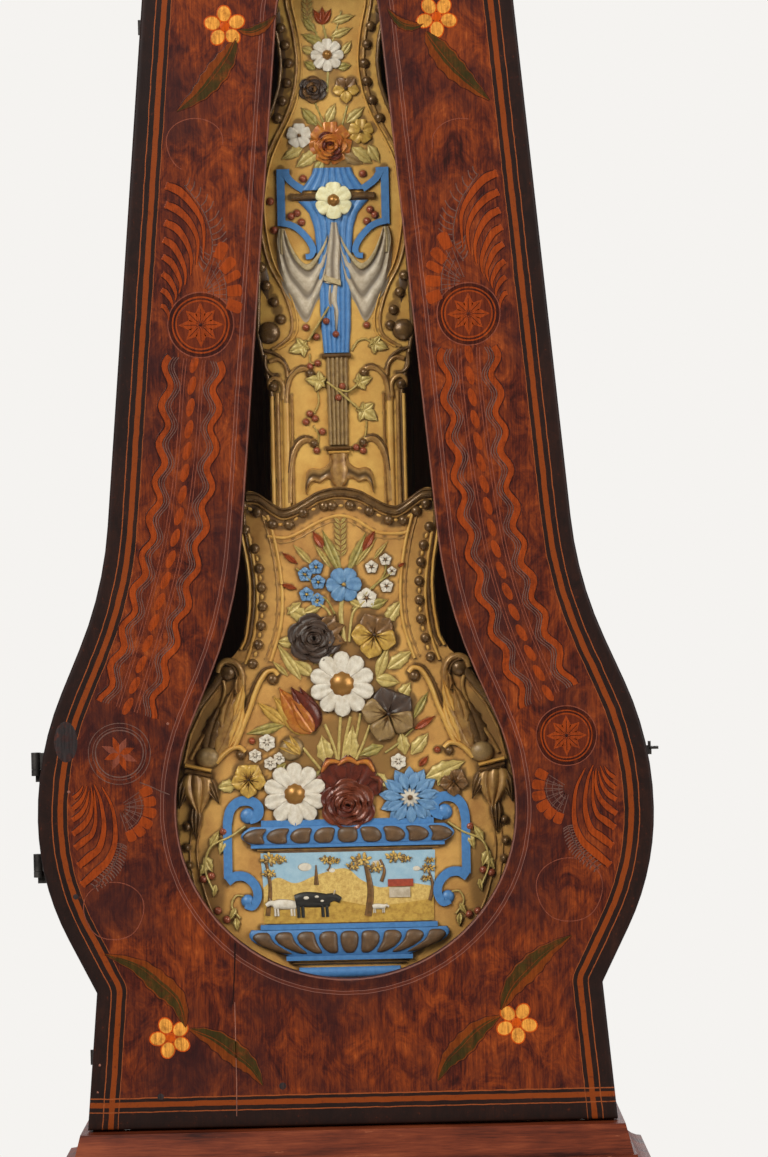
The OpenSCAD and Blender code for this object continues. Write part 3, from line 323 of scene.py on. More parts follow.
reedSection = [(-1, 0)] + [(u / 18, 0.62 + 0.38 * abs(math.sin(math.pi * (u + 18) / 12)) - 0.3 * (u / 18) ** 2)
    for u in range(-18, 19)] + [(1, 0)]


class Relief:
    # closed raised forms on a flat front, gathered into one mesh: x to the right, z up, height towards the front, mm

    def __init__(self, front, finishes):
        self.front, self.finishes, self.order = front, finishes, list(finishes)
        self.points, self.faces, self.slots, self.shadeAndAntiquingLevels = [], [], [], []
        self.marks = []  # (x, z, radius) of each form; the ground gets painted shade and antiquing around it

    def loft(self, rings, finish):
        # rings of (x, z, height, rise), each closed, joined one to the next and capped; a low rise gets painted shade
        # and antiquing from the finish
        first, count, slot = len(self.points), len(rings[0]), self.order.index(finish)
        for ring in rings:
            for x, z, height, rise in ring:
                self.points.append((x * mm, (self.front - height) * mm, z * mm))
                self.shadeAndAntiquingLevels.append(rise)
        faces = [tuple(range(first + count - 1, first - 1, -1)), tuple(range(len(self.points) - count,
            len(self.points)))]
        for r in range(len(rings) - 1):
            a, b = first + r * count, first + (r + 1) * count
            faces += [(a + k, a + (k + 1) % count, b + (k + 1) % count, b + k) for k in range(count)]
        self.faces += faces
        self.slots += [slot] * len(faces)

    def dome(self, outline, height, finish, base=0.0, flat=0.0):
        # outline pulled in towards its middle as it rises; flat keeps the top level
        cx = sum(p[0] for p in outline) / len(outline)
        cz = sum(p[1] for p in outline) / len(outline)
        profile = [(1, sink, 0), (1, base, 0.0)]
        profile += [(flat + (1 - flat) * math.cos(a), base + height * math.sin(a), math.sin(a))
            for a in (0.35, 0.75, 1.15, 1.45)]
        rings = [[(cx + (x - cx) * s, cz + (z - cz) * s, h, rise) for x, z in outline] for s, h, rise in profile]
        self.loft(rings, finish)
        reach = max(math.hypot(x - cx, z - cz) for x, z in outline)
        self.marks.append((cx, cz, reach))

    def bead(self, x, z, radius, height, finish, base=0.0, squash=1.0, turn=0.0, sides=0):
        sides = sides or (16 if radius > 5 else 10)
        outline = []
        for k in range(sides):
            a = 2 * math.pi * k / sides
            u, v = radius * math.cos(a), radius * squash * math.sin(a)
            outline.append((x + u * math.cos(turn) - v * math.sin(turn), z + u * math.sin(turn) + v * math.cos(turn)))
        self.dome(outline, height, finish, base)

    def band(self, path, widths, height, finish, base=0.0, section=roundSection, swell=None):
        # strip along a path; widths and heights are one number or a function of the way along, from 0 to 1
        path = [Vector((p[0], p[1])) for p in path]
        last = len(path) - 1
        rings = []
        for i, p in enumerate(path):
            t = i / last
            along = (path[min(i + 1, last)] - path[max(i - 1, 0)]).normalized()
            side = Vector((-along.y, along.x))
            half = (widths(t) if callable(widths) else widths) / 2
            top = (height(t) if callable(height) else height)
            low = base(t) if callable(base) else base
            ring = [(p.x + side.x * half * v, p.y + side.y * half * v, low + top * h, h) for v, h in section]
            left, right = ring[0], ring[-1]
            rings.append([(left[0], left[1], sink, 0)] + ring + [(right[0], right[1], sink, 0)])
            if i % 3 == 0:
                self.marks.append((p.x, p.y, half))
        self.loft(rings, finish)

    def leaf(self, x, z, angle, length, width, finish, height=2.2, base=0.0, bend=0.0, teeth=0, section=leafSection,
            blunt=0.8):
        # angle in degrees from the x axis; bend turns the tip, in degrees; teeth scallop the sides
        steps = max(9, teeth * 4)
        path, a = [Vector((x, z))], math.radians(angle)
        for i in range(steps):
            a += math.radians(bend) / steps
            path.append(path[-1] + Vector((math.cos(a), math.sin(a))) * length / steps)

        def widthAt(t):
            w = width * math.sin(math.pi * min(max(t, 0.02), 0.985) ** blunt)
            return w * (1 - 0.22 * abs(math.sin(math.pi * teeth * t))) if teeth else w

        self.band(path, widthAt, lambda t: height * (0.45 + 0.55 * math.sin(math.pi * t)), finish, base, section)

    def flower(self, x, z, radius, petals, finish, centre=None, heart=0.25, height=3.2, base=0.0, broad=1.15,
            turn=90.0, heartHeight=2.0, section=petalSection):
        # ring of cupped petals round a boss
        for k in range(petals):
            angle = turn + 360.0 * k / petals
            a = math.radians(angle)
            inner = radius * heart * 0.6
            width = 2 * math.pi * radius * 0.62 / petals * broad
            self.leaf(x + inner * math.cos(a), z + inner * math.sin(a), angle, radius - inner, width, finish,
                height * (0.92 + 0.08 * (k % 2)), base, section=section, blunt=1.35)
        if centre:
            self.bead(x, z, radius * heart, height * 0.45 + heartHeight, centre, base)

    def rose(self, x, z, radius, finish, deep, height=6.0, base=0.0, seed=1, squash=0.92):
        # curled petals, each ring smaller and higher than the last
        dice = random.Random(seed)
        self.bead(x, z, radius * 0.93, height * 0.45, deep, base, squash)
        for ring, (reach, petals, low) in enumerate([(0.80, 6, 0.15), (0.58, 5, 0.4), (0.36, 4, 0.62),
                (0.16, 2, 0.8)]):
            start = dice.random() * 6.28
            for k in range(petals):
                middle = start + 2 * math.pi * k / petals
                span = 2 * math.pi / petals * 0.62
                path = []
                for i in range(9):
                    a = middle + span * (i / 4 - 1)
                    r = radius * reach * (1 + 0.10 * math.cos((i / 4 - 1) * 1.57) + 0.05 * dice.random())
                    path.append((x + r * math.cos(a), z + r * math.sin(a) * squash))
                self.band(path, lambda t: radius * (0.30 - 0.04 * ring) * (0.35 + math.sin(math.pi * t)),
                    height * 0.38, finish if (k + ring) % 3 else deep, base + height * low, petalSection)

    def build(self, name):
        mesh = bpy.data.meshes.new(name)
        mesh.from_pydata(self.points, [], self.faces)
        for finish in self.order:
            mesh.materials.append(self.finishes[finish])
        mesh.polygons.foreach_set("material_index", self.slots)
        # rise: where it is low, the plate finishes paint shade together with brown antiquing
        rise = mesh.attributes.new("rise", "FLOAT", "POINT")
        rise.data.foreach_set("value", self.shadeAndAntiquingLevels)
        outward(mesh)
        return addObject(name, mesh)


def outward(mesh, merge=0.0):
    work = bmesh.new()
    work.from_mesh(mesh)
    if merge:
        bmesh.ops.remove_doubles(work, verts=work.verts, dist=merge)
    bmesh.ops.recalc_face_normals(work, faces=work.faces)
    for face in work.faces:
        face.smooth = True
    work.to_mesh(mesh)
    work.free()
    mesh.set_sharp_from_angle(angle=math.radians(52))


def fromNodes(name, mesh, tree, values):
    # runs a node tree on a mesh and keeps the result as a plain mesh
    source = addObject(name + "Source", mesh)
    modifier = source.modifiers.new("nodes", "NODES")
    modifier.node_group = tree
    for item in tree.interface.items_tree:
        if item.in_out == "INPUT" and item.name in values:
            modifier[item.identifier] = values[item.name]
    ready = source.evaluated_get(bpy.context.evaluated_depsgraph_get())
    result = bpy.data.meshes.new_from_object(ready)
    bpy.data.objects.remove(source)
    return addObject(name, result)


# trunk door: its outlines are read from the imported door, and its front is built as one sheet
door = {"back": -60.5, "front": -80.5, "rebateDepth": 3.7, "rebate": 8.0, "edgeRound": 2.6, "openingRound": 1.4,
        "rowStep": 3.6, "columns": 60}


def frontLoops(name):
    # closed outlines of a node's front face, longest first, as lists of (x, z) in mm
    work = bmesh.new()
    work.from_mesh(nodes[name].data)
    bmesh.ops.remove_doubles(work, verts=work.verts, dist=1e-6)
    frontY = min(v.co.y for v in work.verts)
    atFront = {f for f in work.faces if all(abs(v.co.y - frontY) < 1e-5 for v in f.verts)}
    rim = {}
    for f in atFront:
        for loop in f.loops:
            others = [g for g in loop.edge.link_faces if g is not f]
            if not others or others[0] not in atFront:
                rim[loop.vert.index] = loop.link_loop_next.vert.index
    work.verts.ensure_lookup_table()
    loops = []
    while rim:
        start = next(iter(rim))
        walk, at = [], start
        while at in rim:
            walk.append(at)
            at = rim.pop(at)
        loops.append([(work.verts[i].co.x / mm, work.verts[i].co.z / mm) for i in walk])
    work.free()
    return sorted(loops, key=len, reverse=True), frontY / mm


def rightHalf(loop):
    # the loop's right side as arrays of z and x, from the foot up
    side = sorted({(round(z, 4), round(x, 4)) for x, z in loop if x > -1e-3})
    return np.array([p[0] for p in side]), np.array([p[1] for p in side])


def distanceTo(points, line):
    # shortest distance from each point to a polyline
    best = np.full(len(points), 1e9)
    for a, b in zip(line[:-1], line[1:]):
        ab = b - a
        t = np.clip(((points - a) @ ab) / max(ab @ ab, 1e-9), 0, 1)
        best = np.minimum(best, np.linalg.norm(points - (a + t[:, None] * ab), axis=1))
    return best


loops, doorFront = frontLoops("trunk_door")
loops.sort(key=lambda loop: min(p[0] for p in loop))
outerZ, outerX = rightHalf(loops[0])
windowZ, windowX = rightHalf(loops[1])
footZ, headZ = outerZ[0], outerZ[-1]
print("door outlines read: foot", round(float(footZ), 1), "head", round(float(headZ), 1), "window",
      round(float(windowZ[0]), 1), round(float(windowZ[-1]), 1))


def doorRows():
    marks = sorted(set(outerZ.tolist() + windowZ.tolist() + [footZ + d for d in (0.6, 1.5, 3)]
        + [headZ - d for d in (0.6, 1.5, 3)]))
    rows = [marks[0]]
    for z in marks[1:]:
        if z - rows[-1] < 0.25 and z not in (windowZ[0], windowZ[-1], headZ):
            continue
        steps = max(1, math.ceil((z - rows[-1]) / door["rowStep"]))
        start = rows[-1]
        rows += [start + (z - start) * (k + 1) / steps for k in range(steps)]
    return np.array(rows)


def buildDoor(finish):
    rows = doorRows()
    outer = np.interp(rows, outerZ, outerX)
    inner = np.where((rows >= windowZ[0]) & (rows <= windowZ[-1]), np.interp(rows, windowZ, windowX), 0.0)
    near = np.array([0, 0.5, 1.3, 2.8])
    middle = np.linspace(0, 1, door["columns"] - 8 + 2)[1:-1]
    xs = np.zeros((len(rows), door["columns"]))
    xs[:, :4] = inner[:, None] + near
    xs[:, -4:] = outer[:, None] - near[::-1]
    xs[:, 4:-4] = (inner + 2.8)[:, None] + middle * (outer - inner - 5.6)[:, None]
    zs = np.repeat(rows[:, None], door["columns"], axis=1)
    flat = np.stack([xs.ravel(), zs.ravel()], axis=1)
    side = distanceTo(flat, np.stack([outerX, outerZ], axis=1))
    opening = distanceTo(flat, np.stack([windowX, windowZ], axis=1))
    ends = np.minimum(flat[:, 1] - footZ, headZ - flat[:, 1])
    y = np.full(len(flat), doorFront)
    for distance, radius in ((np.minimum(side, ends), door["edgeRound"]), (opening, door["openingRound"])):
        inside = np.clip(radius - distance, 0, radius)
        y = np.maximum(y, doorFront + radius - np.sqrt(radius ** 2 - inside ** 2))
    points, edges, faces = [], [], []
    for sign in (1, -1):
        first = len(points)
        points += [(sign * x * mm, yy * mm, z * mm) for (x, z), yy in zip(flat.tolist(), y.tolist())]
        edges += list(zip(side.tolist(), opening.tolist(), ends.tolist()))
        width, count = door["columns"], len(rows)
        openRow = [inner[r] > 0 for r in range(count)]
        for r in range(count - 1):
            a, b = first + r * width, first + (r + 1) * width
            faces += [(a + c, a + c + 1, b + c + 1, b + c) for c in range(width - 1)]
        foot = int(np.argmin(abs(rows - windowZ[0])))
        top = int(np.argmin(abs(rows - windowZ[-1])))
        rebateY = door["back"] - door["rebateDepth"]
        path = [Vector((inner[r], rows[r])) for r in range(foot, top + 1)]
        wall, ledge, back = [], [], []
        for i, p in enumerate(path):
            along = (path[min(i + 1, len(path) - 1)] - path[max(i - 1, 0)]).normalized()
            out = Vector((along.y, -along.x)) * door["rebate"]
            if i == 0:
                out = Vector((0, -door["rebate"]))
            if i == len(path) - 1:
                out = Vector((0, door["rebate"]))
            for store, q, yy in ((wall, p, rebateY), (ledge, p + out, rebateY), (back, p + out, door["back"])):
                store.append(len(points))
                points.append((sign * max(q.x, 0) * mm, yy * mm, q.y * mm))
                edges.append((99.0, 5.0, 99.0))
        outerBack = []
        for r in range(count):
            outerBack.append(len(points))
            points.append((sign * outer[r] * mm, door["back"] * mm, rows[r] * mm))
            edges.append((0.0, 99.0, 99.0))
        centreFoot, centreHead = len(points), len(points) + 1
        points += [(0, door["back"] * mm, footZ * mm), (0, door["back"] * mm, headZ * mm)]
        edges += [(99.0, 99.0, 0.0)] * 2
        for i in range(len(path) - 1):
            f = first + (foot + i) * width
            faces += [(f, f + width, wall[i + 1], wall[i]), (wall[i], wall[i + 1], ledge[i + 1], ledge[i]),
                (ledge[i], ledge[i + 1], back[i + 1], back[i]), (back[i], back[i + 1], outerBack[foot + i + 1],
                outerBack[foot + i])]
        for r in range(count - 1):
            f = first + r * width + width - 1
            faces.append((f, f + width, outerBack[r + 1], outerBack[r]))
        faces.append(tuple([centreFoot] + outerBack[:foot + 1] + [back[0]]))
        faces.append(tuple([centreHead, back[-1]] + outerBack[top:]))
        faces.append(tuple([first + c for c in range(width)] + [outerBack[0], centreFoot]))
        faces.append(tuple([first + (count - 1) * width + c for c in range(width)] + [outerBack[-1], centreHead]))
    mesh = bpy.data.meshes.new("doorBoard")
    mesh.from_pydata(points, [], faces)
    attribute = mesh.attributes.new("edges", "FLOAT_VECTOR", "POINT")
    attribute.data.foreach_set("vector", [v for e in edges for v in e])
    outward(mesh, 1e-5)
    for polygon in mesh.polygons:
        if len(polygon.vertices) > 4:
            polygon.use_smooth = False
    mesh.materials.append(finish)
    return addObject("doorBoard", mesh)


paint = {"sheen": 0.1, "bandMm": (13.2, 14.1, 18.8, 24.0, 27.7, 28.3), "footMm": (16.0, 17.0, 21.0, 26.0, 29.0, 30.0),
    "rampMm": 40.0, "rimMm": 24.0, "rim": (1.7, 9.4, 11.6, 12.1, 14.6, 15.1), "black": "#1b1310", "stripe": "#74330f",
    "line": "#854320", "scratch": "#94685a"}


def burlColours(tree, place):
    # brushed and dabbed imitation burl: upright blotches of 30 mm, hair-like strokes a millimetre wide, dark clouds
    drawn = addNode(tree, "ShaderNodeMapping", None, {"Vector": place, "Scale": (1, 1, 0.62)})
    blotch = noise(tree, drawn, 24, 8.0, 0.72, 1.1)
    upright = addNode(tree, "ShaderNodeMapping", None, {"Vector": place, "Scale": (1, 1, 0.07)})
    strokes = noise(tree, upright, 1.7, 4.0, 0.75)
    clouds = noise(tree, place, 120, 6.0, 0.62, 0.4)
    body = combine(tree, "MULTIPLY_ADD", strokes.outputs["Fac"], 0.5, blotch.outputs["Fac"])
    warm = rampOf(tree, body, [(0.56, "#26100d"), (0.68, "#451a10"), (0.78, "#602710"), (0.90, "#7b3512"),
        (0.98, "#8f451b")])
    cloudMask = ranged(tree, clouds.outputs["Fac"], 0.46, 0.62, toMax=0.74)
    clouded = mixed(tree, cloudMask, warm.outputs["Color"], "#2c1514")
    return clouded, strokes.outputs["Fac"], blotch.outputs["Fac"]


def bandStops(edgesAt, widthMm):
    # red: black paint, green: orange paint, blue: thin lines
    a, b, c, d, e, f = [v / widthMm for v in edgesAt]
    black, stripe, line, none = (1, 0, 0), (0, 1, 0), (0, 0, 1), (0, 0, 0)
    return [(0, black), (a, line), (b, black), (c, stripe), (d, black), (e, line), (f, none)]


burl, tree, shader, place = newMaterial("painted_burl_varnished")  # graining in oil paint under old varnish
ground, strokes, blotch = burlColours(tree, place)
edges = addNode(tree, "ShaderNodeSeparateXYZ", None, {0: addNode(tree, "ShaderNodeAttribute",
    {"attribute_name": "edges"}).outputs["Vector"]})
tremble = noise(tree, place, 14, 5.0)
masks = []
for axis, stops in (("X", paint["bandMm"]), ("Z", paint["footMm"])):
    uneven = combine(tree, "MULTIPLY_ADD", tremble.outputs["Fac"], 1.6, edges.outputs[axis])
    fraction = combine(tree, "DIVIDE", uneven, paint["rampMm"])
    masks.append(rampOf(tree, fraction, bandStops([s + 0.8 for s in stops], paint["rampMm"]), "CONSTANT"))
crossed = mixed(tree, 1.0, masks[0].outputs["Color"], masks[1].outputs["Color"], "LIGHTEN")
mask = addNode(tree, "ShaderNodeSeparateColor", None, {0: crossed})
wear = noise(tree, place, 5, 6.0, 0.7)
colour = ground
for channel, hexColour, low, high in (("Red", paint["black"], 0.60, 0.74), ("Green", paint["stripe"], 0.55, 0.7),
        ("Blue", paint["line"], 0.52, 0.66)):
    kept = ranged(tree, wear.outputs["Fac"], low, high, 0.94, 0.35)
    amount = combine(tree, "MULTIPLY", mask.outputs[channel], kept)
    colour = mixed(tree, amount, colour, hexColour)
opening = combine(tree, "MULTIPLY_ADD", tremble.outputs["Fac"], 1.2, edges.outputs["Y"])
openingPart = combine(tree, "DIVIDE", opening, paint["rimMm"])
rimColours = [(1, 0, 0), (0.2, 0, 0), (0, 0, 1), (0, 1, 0), (0, 0, 1), (0, 0, 0)]
rimStops = [(0, (0, 0, 1))] + [(v / paint["rimMm"], c) for v, c in zip(paint["rim"], rimColours)]
rimMask = rampOf(tree, openingPart, rimStops, "CONSTANT")
rim = addNode(tree, "ShaderNodeSeparateColor", None, {0: rimMask.outputs["Color"]})
for channel, hexColour, strength in (("Red", "#20100f", 0.32), ("Green", "#5a2a1c", 0.4),
        ("Blue", paint["scratch"], 0.42)):
    amount = combine(tree, "MULTIPLY", rim.outputs[channel], strength)
    colour = mixed(tree, amount, colour, hexColour)
tree.links.new(colour, shader.inputs["Base Color"])
shader.inputs["Specular IOR Level"].default_value = paint["sheen"]  # the old varnish is thin and dry
rough = ranged(tree, blotch, toMin=0.32, toMax=0.6)
tree.links.new(rough.outputs[0], shader.inputs["Roughness"])
brushed = addNode(tree, "ShaderNodeBump", None, {"Strength": 0.3, "Distance": 0.15 * mm, "Height": strokes})
tree.links.new(brushed.outputs[0], shader.inputs["Normal"])

doorBoard = buildDoor(burl)
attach(doorBoard, "trunk_door")
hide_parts("trunk_door")
print("door board:", len(doorBoard.data.polygons), "faces")

# painted ornament of the door
def oilPaint(name, colour, kept, gloss=0.36, lively=0.3):
    # thin oil paint over the graining, streaked by the brush and rubbed through in places
    material, tree, shader, place = newMaterial(name)
    under, strokes, blotch = burlColours(tree, place)
    worn = noise(tree, place, 6, 7.0, 0.7)
    held = ranged(tree, worn.outputs["Fac"], 0.48, 0.70, kept, kept * 0.35)
    streaks = ranged(tree, strokes, 0.35, 0.65, 1 - lively, 1 + lively * 0.5)
    toned = addNode(tree, "ShaderNodeHueSaturation", None, {"Color": linear(colour), "Value": streaks})
    body = mixed(tree, held, under, toned)
    tree.links.new(body, shader.inputs["Base Color"])
    shader.inputs["Roughness"].default_value = gloss
    shader.inputs["Specular IOR Level"].default_value = paint["sheen"]
    brushed = addNode(tree, "ShaderNodeBump", None, {"Strength": 0.3, "Distance": 0.15 * mm, "Height": strokes})
    tree.links.new(brushed.outputs[0], shader.inputs["Normal"])
    return material


doorPaints = {
    "orange": oilPaint("orange_ochre_paint", "#8a3811", 0.85),
    "line": oilPaint("rubbed_line_in_orange", "#7a4130", 0.85),
    "grey": oilPaint("rubbed_line_in_grey", "#63483f", 0.92),
    "dark": oilPaint("dark_shading_paint", "#26100e", 0.75),
    "disc": oilPaint("brown_disc_paint", "#5a2413", 0.8),
    "petal": oilPaint("yellow_ochre_petals", "#d08c3a", 0.98, 0.3, 0.45),
    "heart": oilPaint("red_lead_dot", "#b4480f", 0.98, 0.3),
    "green": oilPaint("dark_green_leaf_paint", "#2f2d12", 0.82, 0.34),
    "leafEdge": oilPaint("orange_brown_leaf_paint", "#6c330f", 0.82, 0.34),
    "black": oilPaint("filler_left_dark_and_rough", "#2b2625", 0.98, 0.7, 0.5),
    "crack": oilPaint("shrinkage_crack_shadow", "#140a09", 1.0, 0.7),
    # pale paint for scratches in the varnish, and for painted glints on nail heads
    "pale": oilPaint("pale_scratch_and_nail_glint_paint", "#8a5c4c", 0.85),
}
doorRead = {"mmPerPixel": 0.94, "middle": 327.5, "lean": 0.023, "footPixel": 1123.5, "footZ": 432.0}
coat = {"low": 0.08, "mid": 0.16, "high": 0.24, "top": 0.32}  # each coat of paint stands this many mm proud
ornament = Relief(doorFront, doorPaints)


def onDoor(px, py):
    # a place read on the photograph, on the door's front, in mm
    middle = doorRead["middle"] + doorRead["lean"] * py
    return ((px - middle) * doorRead["mmPerPixel"], doorRead["footZ"] + (doorRead["footPixel"]
        - py) * doorRead["mmPerPixel"])


def stroke(path, width, finish, height="mid"):
    ornament.band(path, width, coat[height], finish, section=flatSection)


def ring(cx, cz, radius, width, finish, height="mid", wobble=0.0, start=0.02, sweep=2 * math.pi):
    angles = np.linspace(start, start + sweep, 56)
    stroke([(cx + (radius + wobble * math.sin(3 * a)) * math.cos(a),
        cz + (radius + wobble * math.cos(2 * a)) * math.sin(a)) for a in angles], width, finish, height)


def compassStar(cx, cz, radius):
    # eight kite-shaped points on a dark disc in double rings
    disc = [(cx + radius * 0.72 * math.cos(a), cz + radius * 0.72 * math.sin(a)) for a in np.linspace(0, 2 * math.pi,
        41)[:-1]]
    ornament.dome(disc, coat["low"], "disc", flat=0.98)
    for reach, width, finish in ((1.0, 1.2, "line"), (0.93, 3.4, "dark"), (0.855, 1.5, "orange"), (0.80, 1.2, "dark"),
            (0.745, 1.5, "orange")):
        ring(cx, cz, radius * reach, width, finish, "mid", 0.25)
    for k in range(8):
        a = math.pi / 4 * k
        kite = [(cx + radius * (along * math.cos(a) - across * math.sin(a)), cz + radius * (along * math.sin(a)
            + across * math.cos(a))) for along, across in ((0.05, 0), (0.33, -0.165), (0.69 if k % 2 == 0 else 0.63,
            0), (0.33, 0.165))]
        ornament.dome(kite, coat["high"], "orange", flat=0.94)
        spine = [(cx + radius * r * math.cos(a), cz + radius * r * math.sin(a)) for r in (0.1, 0.3, 0.5)]
        stroke(spine, 0.6, "dark", "top")
    ornament.bead(cx, cz, 1.6, coat["top"], "dark", sides=10)


# feather, comb and fan: pixels to the right of the rosette's middle and away from it, drawn for the left stile
feathers = {"head": {"lobes": [([(-31, 140), (-18, 134), (-4, 118), (5, 98), (4, 66)], 9.5),
    ([(-32, 121), (-20, 115), (-8, 102), (-1, 84), (-3, 60)], 9.0), ([(-33, 103), (-22, 97), (-13, 84), (-8, 68),
    (-9, 50)], 8.6), ([(-35, 86), (-26, 80), (-18, 66), (-14, 52), (-15, 40)], 8.0),
    ([(-36, 69), (-28, 63), (-22, 52), (-19, 42), (-21, 32)], 7.4), ([(-37, 52), (-31, 47), (-26, 38), (-24, 31),
    (-25, 25)], 6.8), ([(-38, 36), (-34, 33), (-30, 27), (-28, 22), (-28, 17)], 6.2),
    ([(-39, 20), (-36, 19), (-33, 14), (-32, 10), (-32, 5)], 5.4)], "spine": [(-13, 140), (5, 114), (13, 88),
    (12, 69), (4, 53)], "teeth": 15, "reach": 15, "sides": (1,), "fanMiddle": (2, 31),
    "blocks": [(22, 73.5, 8.5, 6.6), (28.5, 59, 8.5, 6.2), (33, 47.5, 8, 5.0), (34.5, 33.5, 7.5, 6.6),
    (34, 18, 7.5, 6.8)], "blockFinish": "orange"}, "belly": {"lobes": [([(-40, 130), (-25, 117), (-13, 105), (-6, 85),
    (-8, 55), (-18, 33)], 9.0), ([(-43, 111), (-32, 102), (-22, 93), (-17, 72), (-20, 46), (-26, 30)], 8.6),
    ([(-46, 93), (-37, 86), (-29, 79), (-25, 64), (-26, 36)], 7.8), ([(-48, 79), (-38, 71), (-31, 61), (-28, 47),
    (-29, 33)], 7.0), ([(-48, 65), (-40, 59), (-34, 49), (-31, 36)], 6.0), ([(-48, 54), (-41, 48), (-36, 40),
    (-33, 31)], 5.4), ([(-47, 43), (-41, 38), (-37, 31)], 4.6)], "spine": [(1, 90), (-5, 105), (-14, 119),
    (-29, 134)], "teeth": 17, "reach": 9, "sides": (-1, 1), "fanMiddle": (-2, 53), "blocks": [(25.8, 38.2, 6, 5.6),
    (29.2, 48.6, 6, 5.6), (28.8, 59.5, 6.4, 5.6), (24.7, 69.7, 6.4, 5.6), (18.2, 77.1, 6, 5.4),
    (9.8, 82.2, 5.6, 5.2)], "blockFinish": "orange"},}


def feather(cx, cz, flipX, flipZ, shape):
    scale = doorRead["mmPerPixel"]

    def at(u, v):
        return Vector((cx + flipX * u * scale, cz + flipZ * v * scale))
    for pixels, width in shape["lobes"]:
        path = smoothPath([at(*p) for p in pixels], 6)

        def lobeWidth(t, extra=0.0):
            blunt = 0.62 + 0.38 * math.sin(min(1.0, t * 4) * math.pi / 2)
            return scale * (width * blunt * (1 - 0.88 * t ** 1.3) + extra * (1 - 0.5 * t))
        stroke(path, lambda t: lobeWidth(t, 2.6), "dark", "low")
        stroke(path, lobeWidth, "orange", "high")
        tip, along = path[0], (path[1] - path[0]).normalized()
        for k in (-1, 0, 1):
            scallop = tip + Vector((-along.y, along.x)) * k * width * 0.26 * scale + along * 0.5
            ornament.bead(scallop.x, scallop.y, width * 0.19 * scale, coat["high"] + 0.02, "orange", sides=10)
    spine = smoothPath([at(*p) for p in shape["spine"]], 12)
    stroke(spine, 0.9, "grey")
    away = at(*shape["fanMiddle"])
    for k in range(shape["teeth"]):
        i = 1 + int(k * (len(spine) - 4) / (shape["teeth"] - 1))
        p, along = spine[i], (spine[i + 1] - spine[i - 1]).normalized()
        out = Vector((-along.y, along.x))
        if (p + out - away).length < (p - out - away).length:
            out = -out
        back = -along if shape["sides"] == (1,) else along * 0.4
        reach = shape["reach"] * (0.6 + 0.4 * math.sin(math.pi * k / (shape["teeth"] - 1))) * scale
        for side in shape["sides"]:
            end = p + out * side * reach + back * reach * 0.5
            stroke(smoothPath([p, p + out * side * reach * 0.55 + back * reach * 0.12, end], 4), 1.0, "grey")
    middle = at(*shape["fanMiddle"])
    for u, v, half, wide in shape["blocks"]:
        here = at(u, v)
        out = (here - middle).normalized()
        across = Vector((-out.y, out.x))
        outline = []
        for along, side in ((-1, -0.82), (-0.4, -0.94), (0.7, -1.0), (1.0, -0.72), (1.1, 0), (1.0, 0.72), (0.7, 1.0),
                (-0.4, 0.94), (-1, 0.82)):
            p = here + out * along * half * scale + across * side * wide * 0.9 * scale
            outline.append((p.x, p.y))
        ornament.dome(outline, coat["high"], shape["blockFinish"], flat=0.95)
        for k in (-0.5, 0.5):
            start = middle + out * 6 * scale + across * k * 2 * scale
            stroke([start, here - out * half * 1.05 * scale + across * k * wide * scale], 0.6, "grey", "low")
    for part in (0.35, 0.55, 0.75):
        arc = [middle + (at(u, v) - middle) * part for u, v, half, wide in shape["blocks"]]
        stroke(smoothPath(arc, 4), 0.6, "grey", "mid")


ribbonRead = {"middle": 23.5, "band": 5.8, "wave": 3.8, "period": 36.5, "inner": (19.6, 17.2, 14.8),
    "straight": (10.2, 7.4)}


def ribbon(pixels):
    # two wavy bands, each with thin lines that follow it and a straight pair inside them
    path = smoothPath([onDoor(*p) for p in pixels], 30)
    lengths = [0.0]
    for a, b in zip(path[:-1], path[1:]):
        lengths.append(lengths[-1] + (b - a).length)
    for side in (-1, 1):
        def offset(distance, wave):
            points = []
            for i in range(0, len(path) - 1, 2):
                along = (path[i + 1] - path[i]).normalized()
                swing = wave * math.cos(2 * math.pi * (lengths[i] - 9) / ribbonRead["period"])
                points.append(path[i] + Vector((-along.y, along.x)) * side * (distance + swing))
            return points
        stroke(offset(ribbonRead["middle"], ribbonRead["wave"]), ribbonRead["band"] + 2.6, "dark", "low")
        stroke(offset(ribbonRead["middle"], ribbonRead["wave"]), lambda t: ribbonRead["band"] * (1
            + 0.12 * math.sin(37 * t)), "orange", "high")
        for distance in ribbonRead["inner"]:
            stroke(offset(distance, ribbonRead["wave"]), 0.8, "grey")
        for distance in ribbonRead["straight"]:
            stroke(offset(distance, 0), 0.8, "line")
    return path


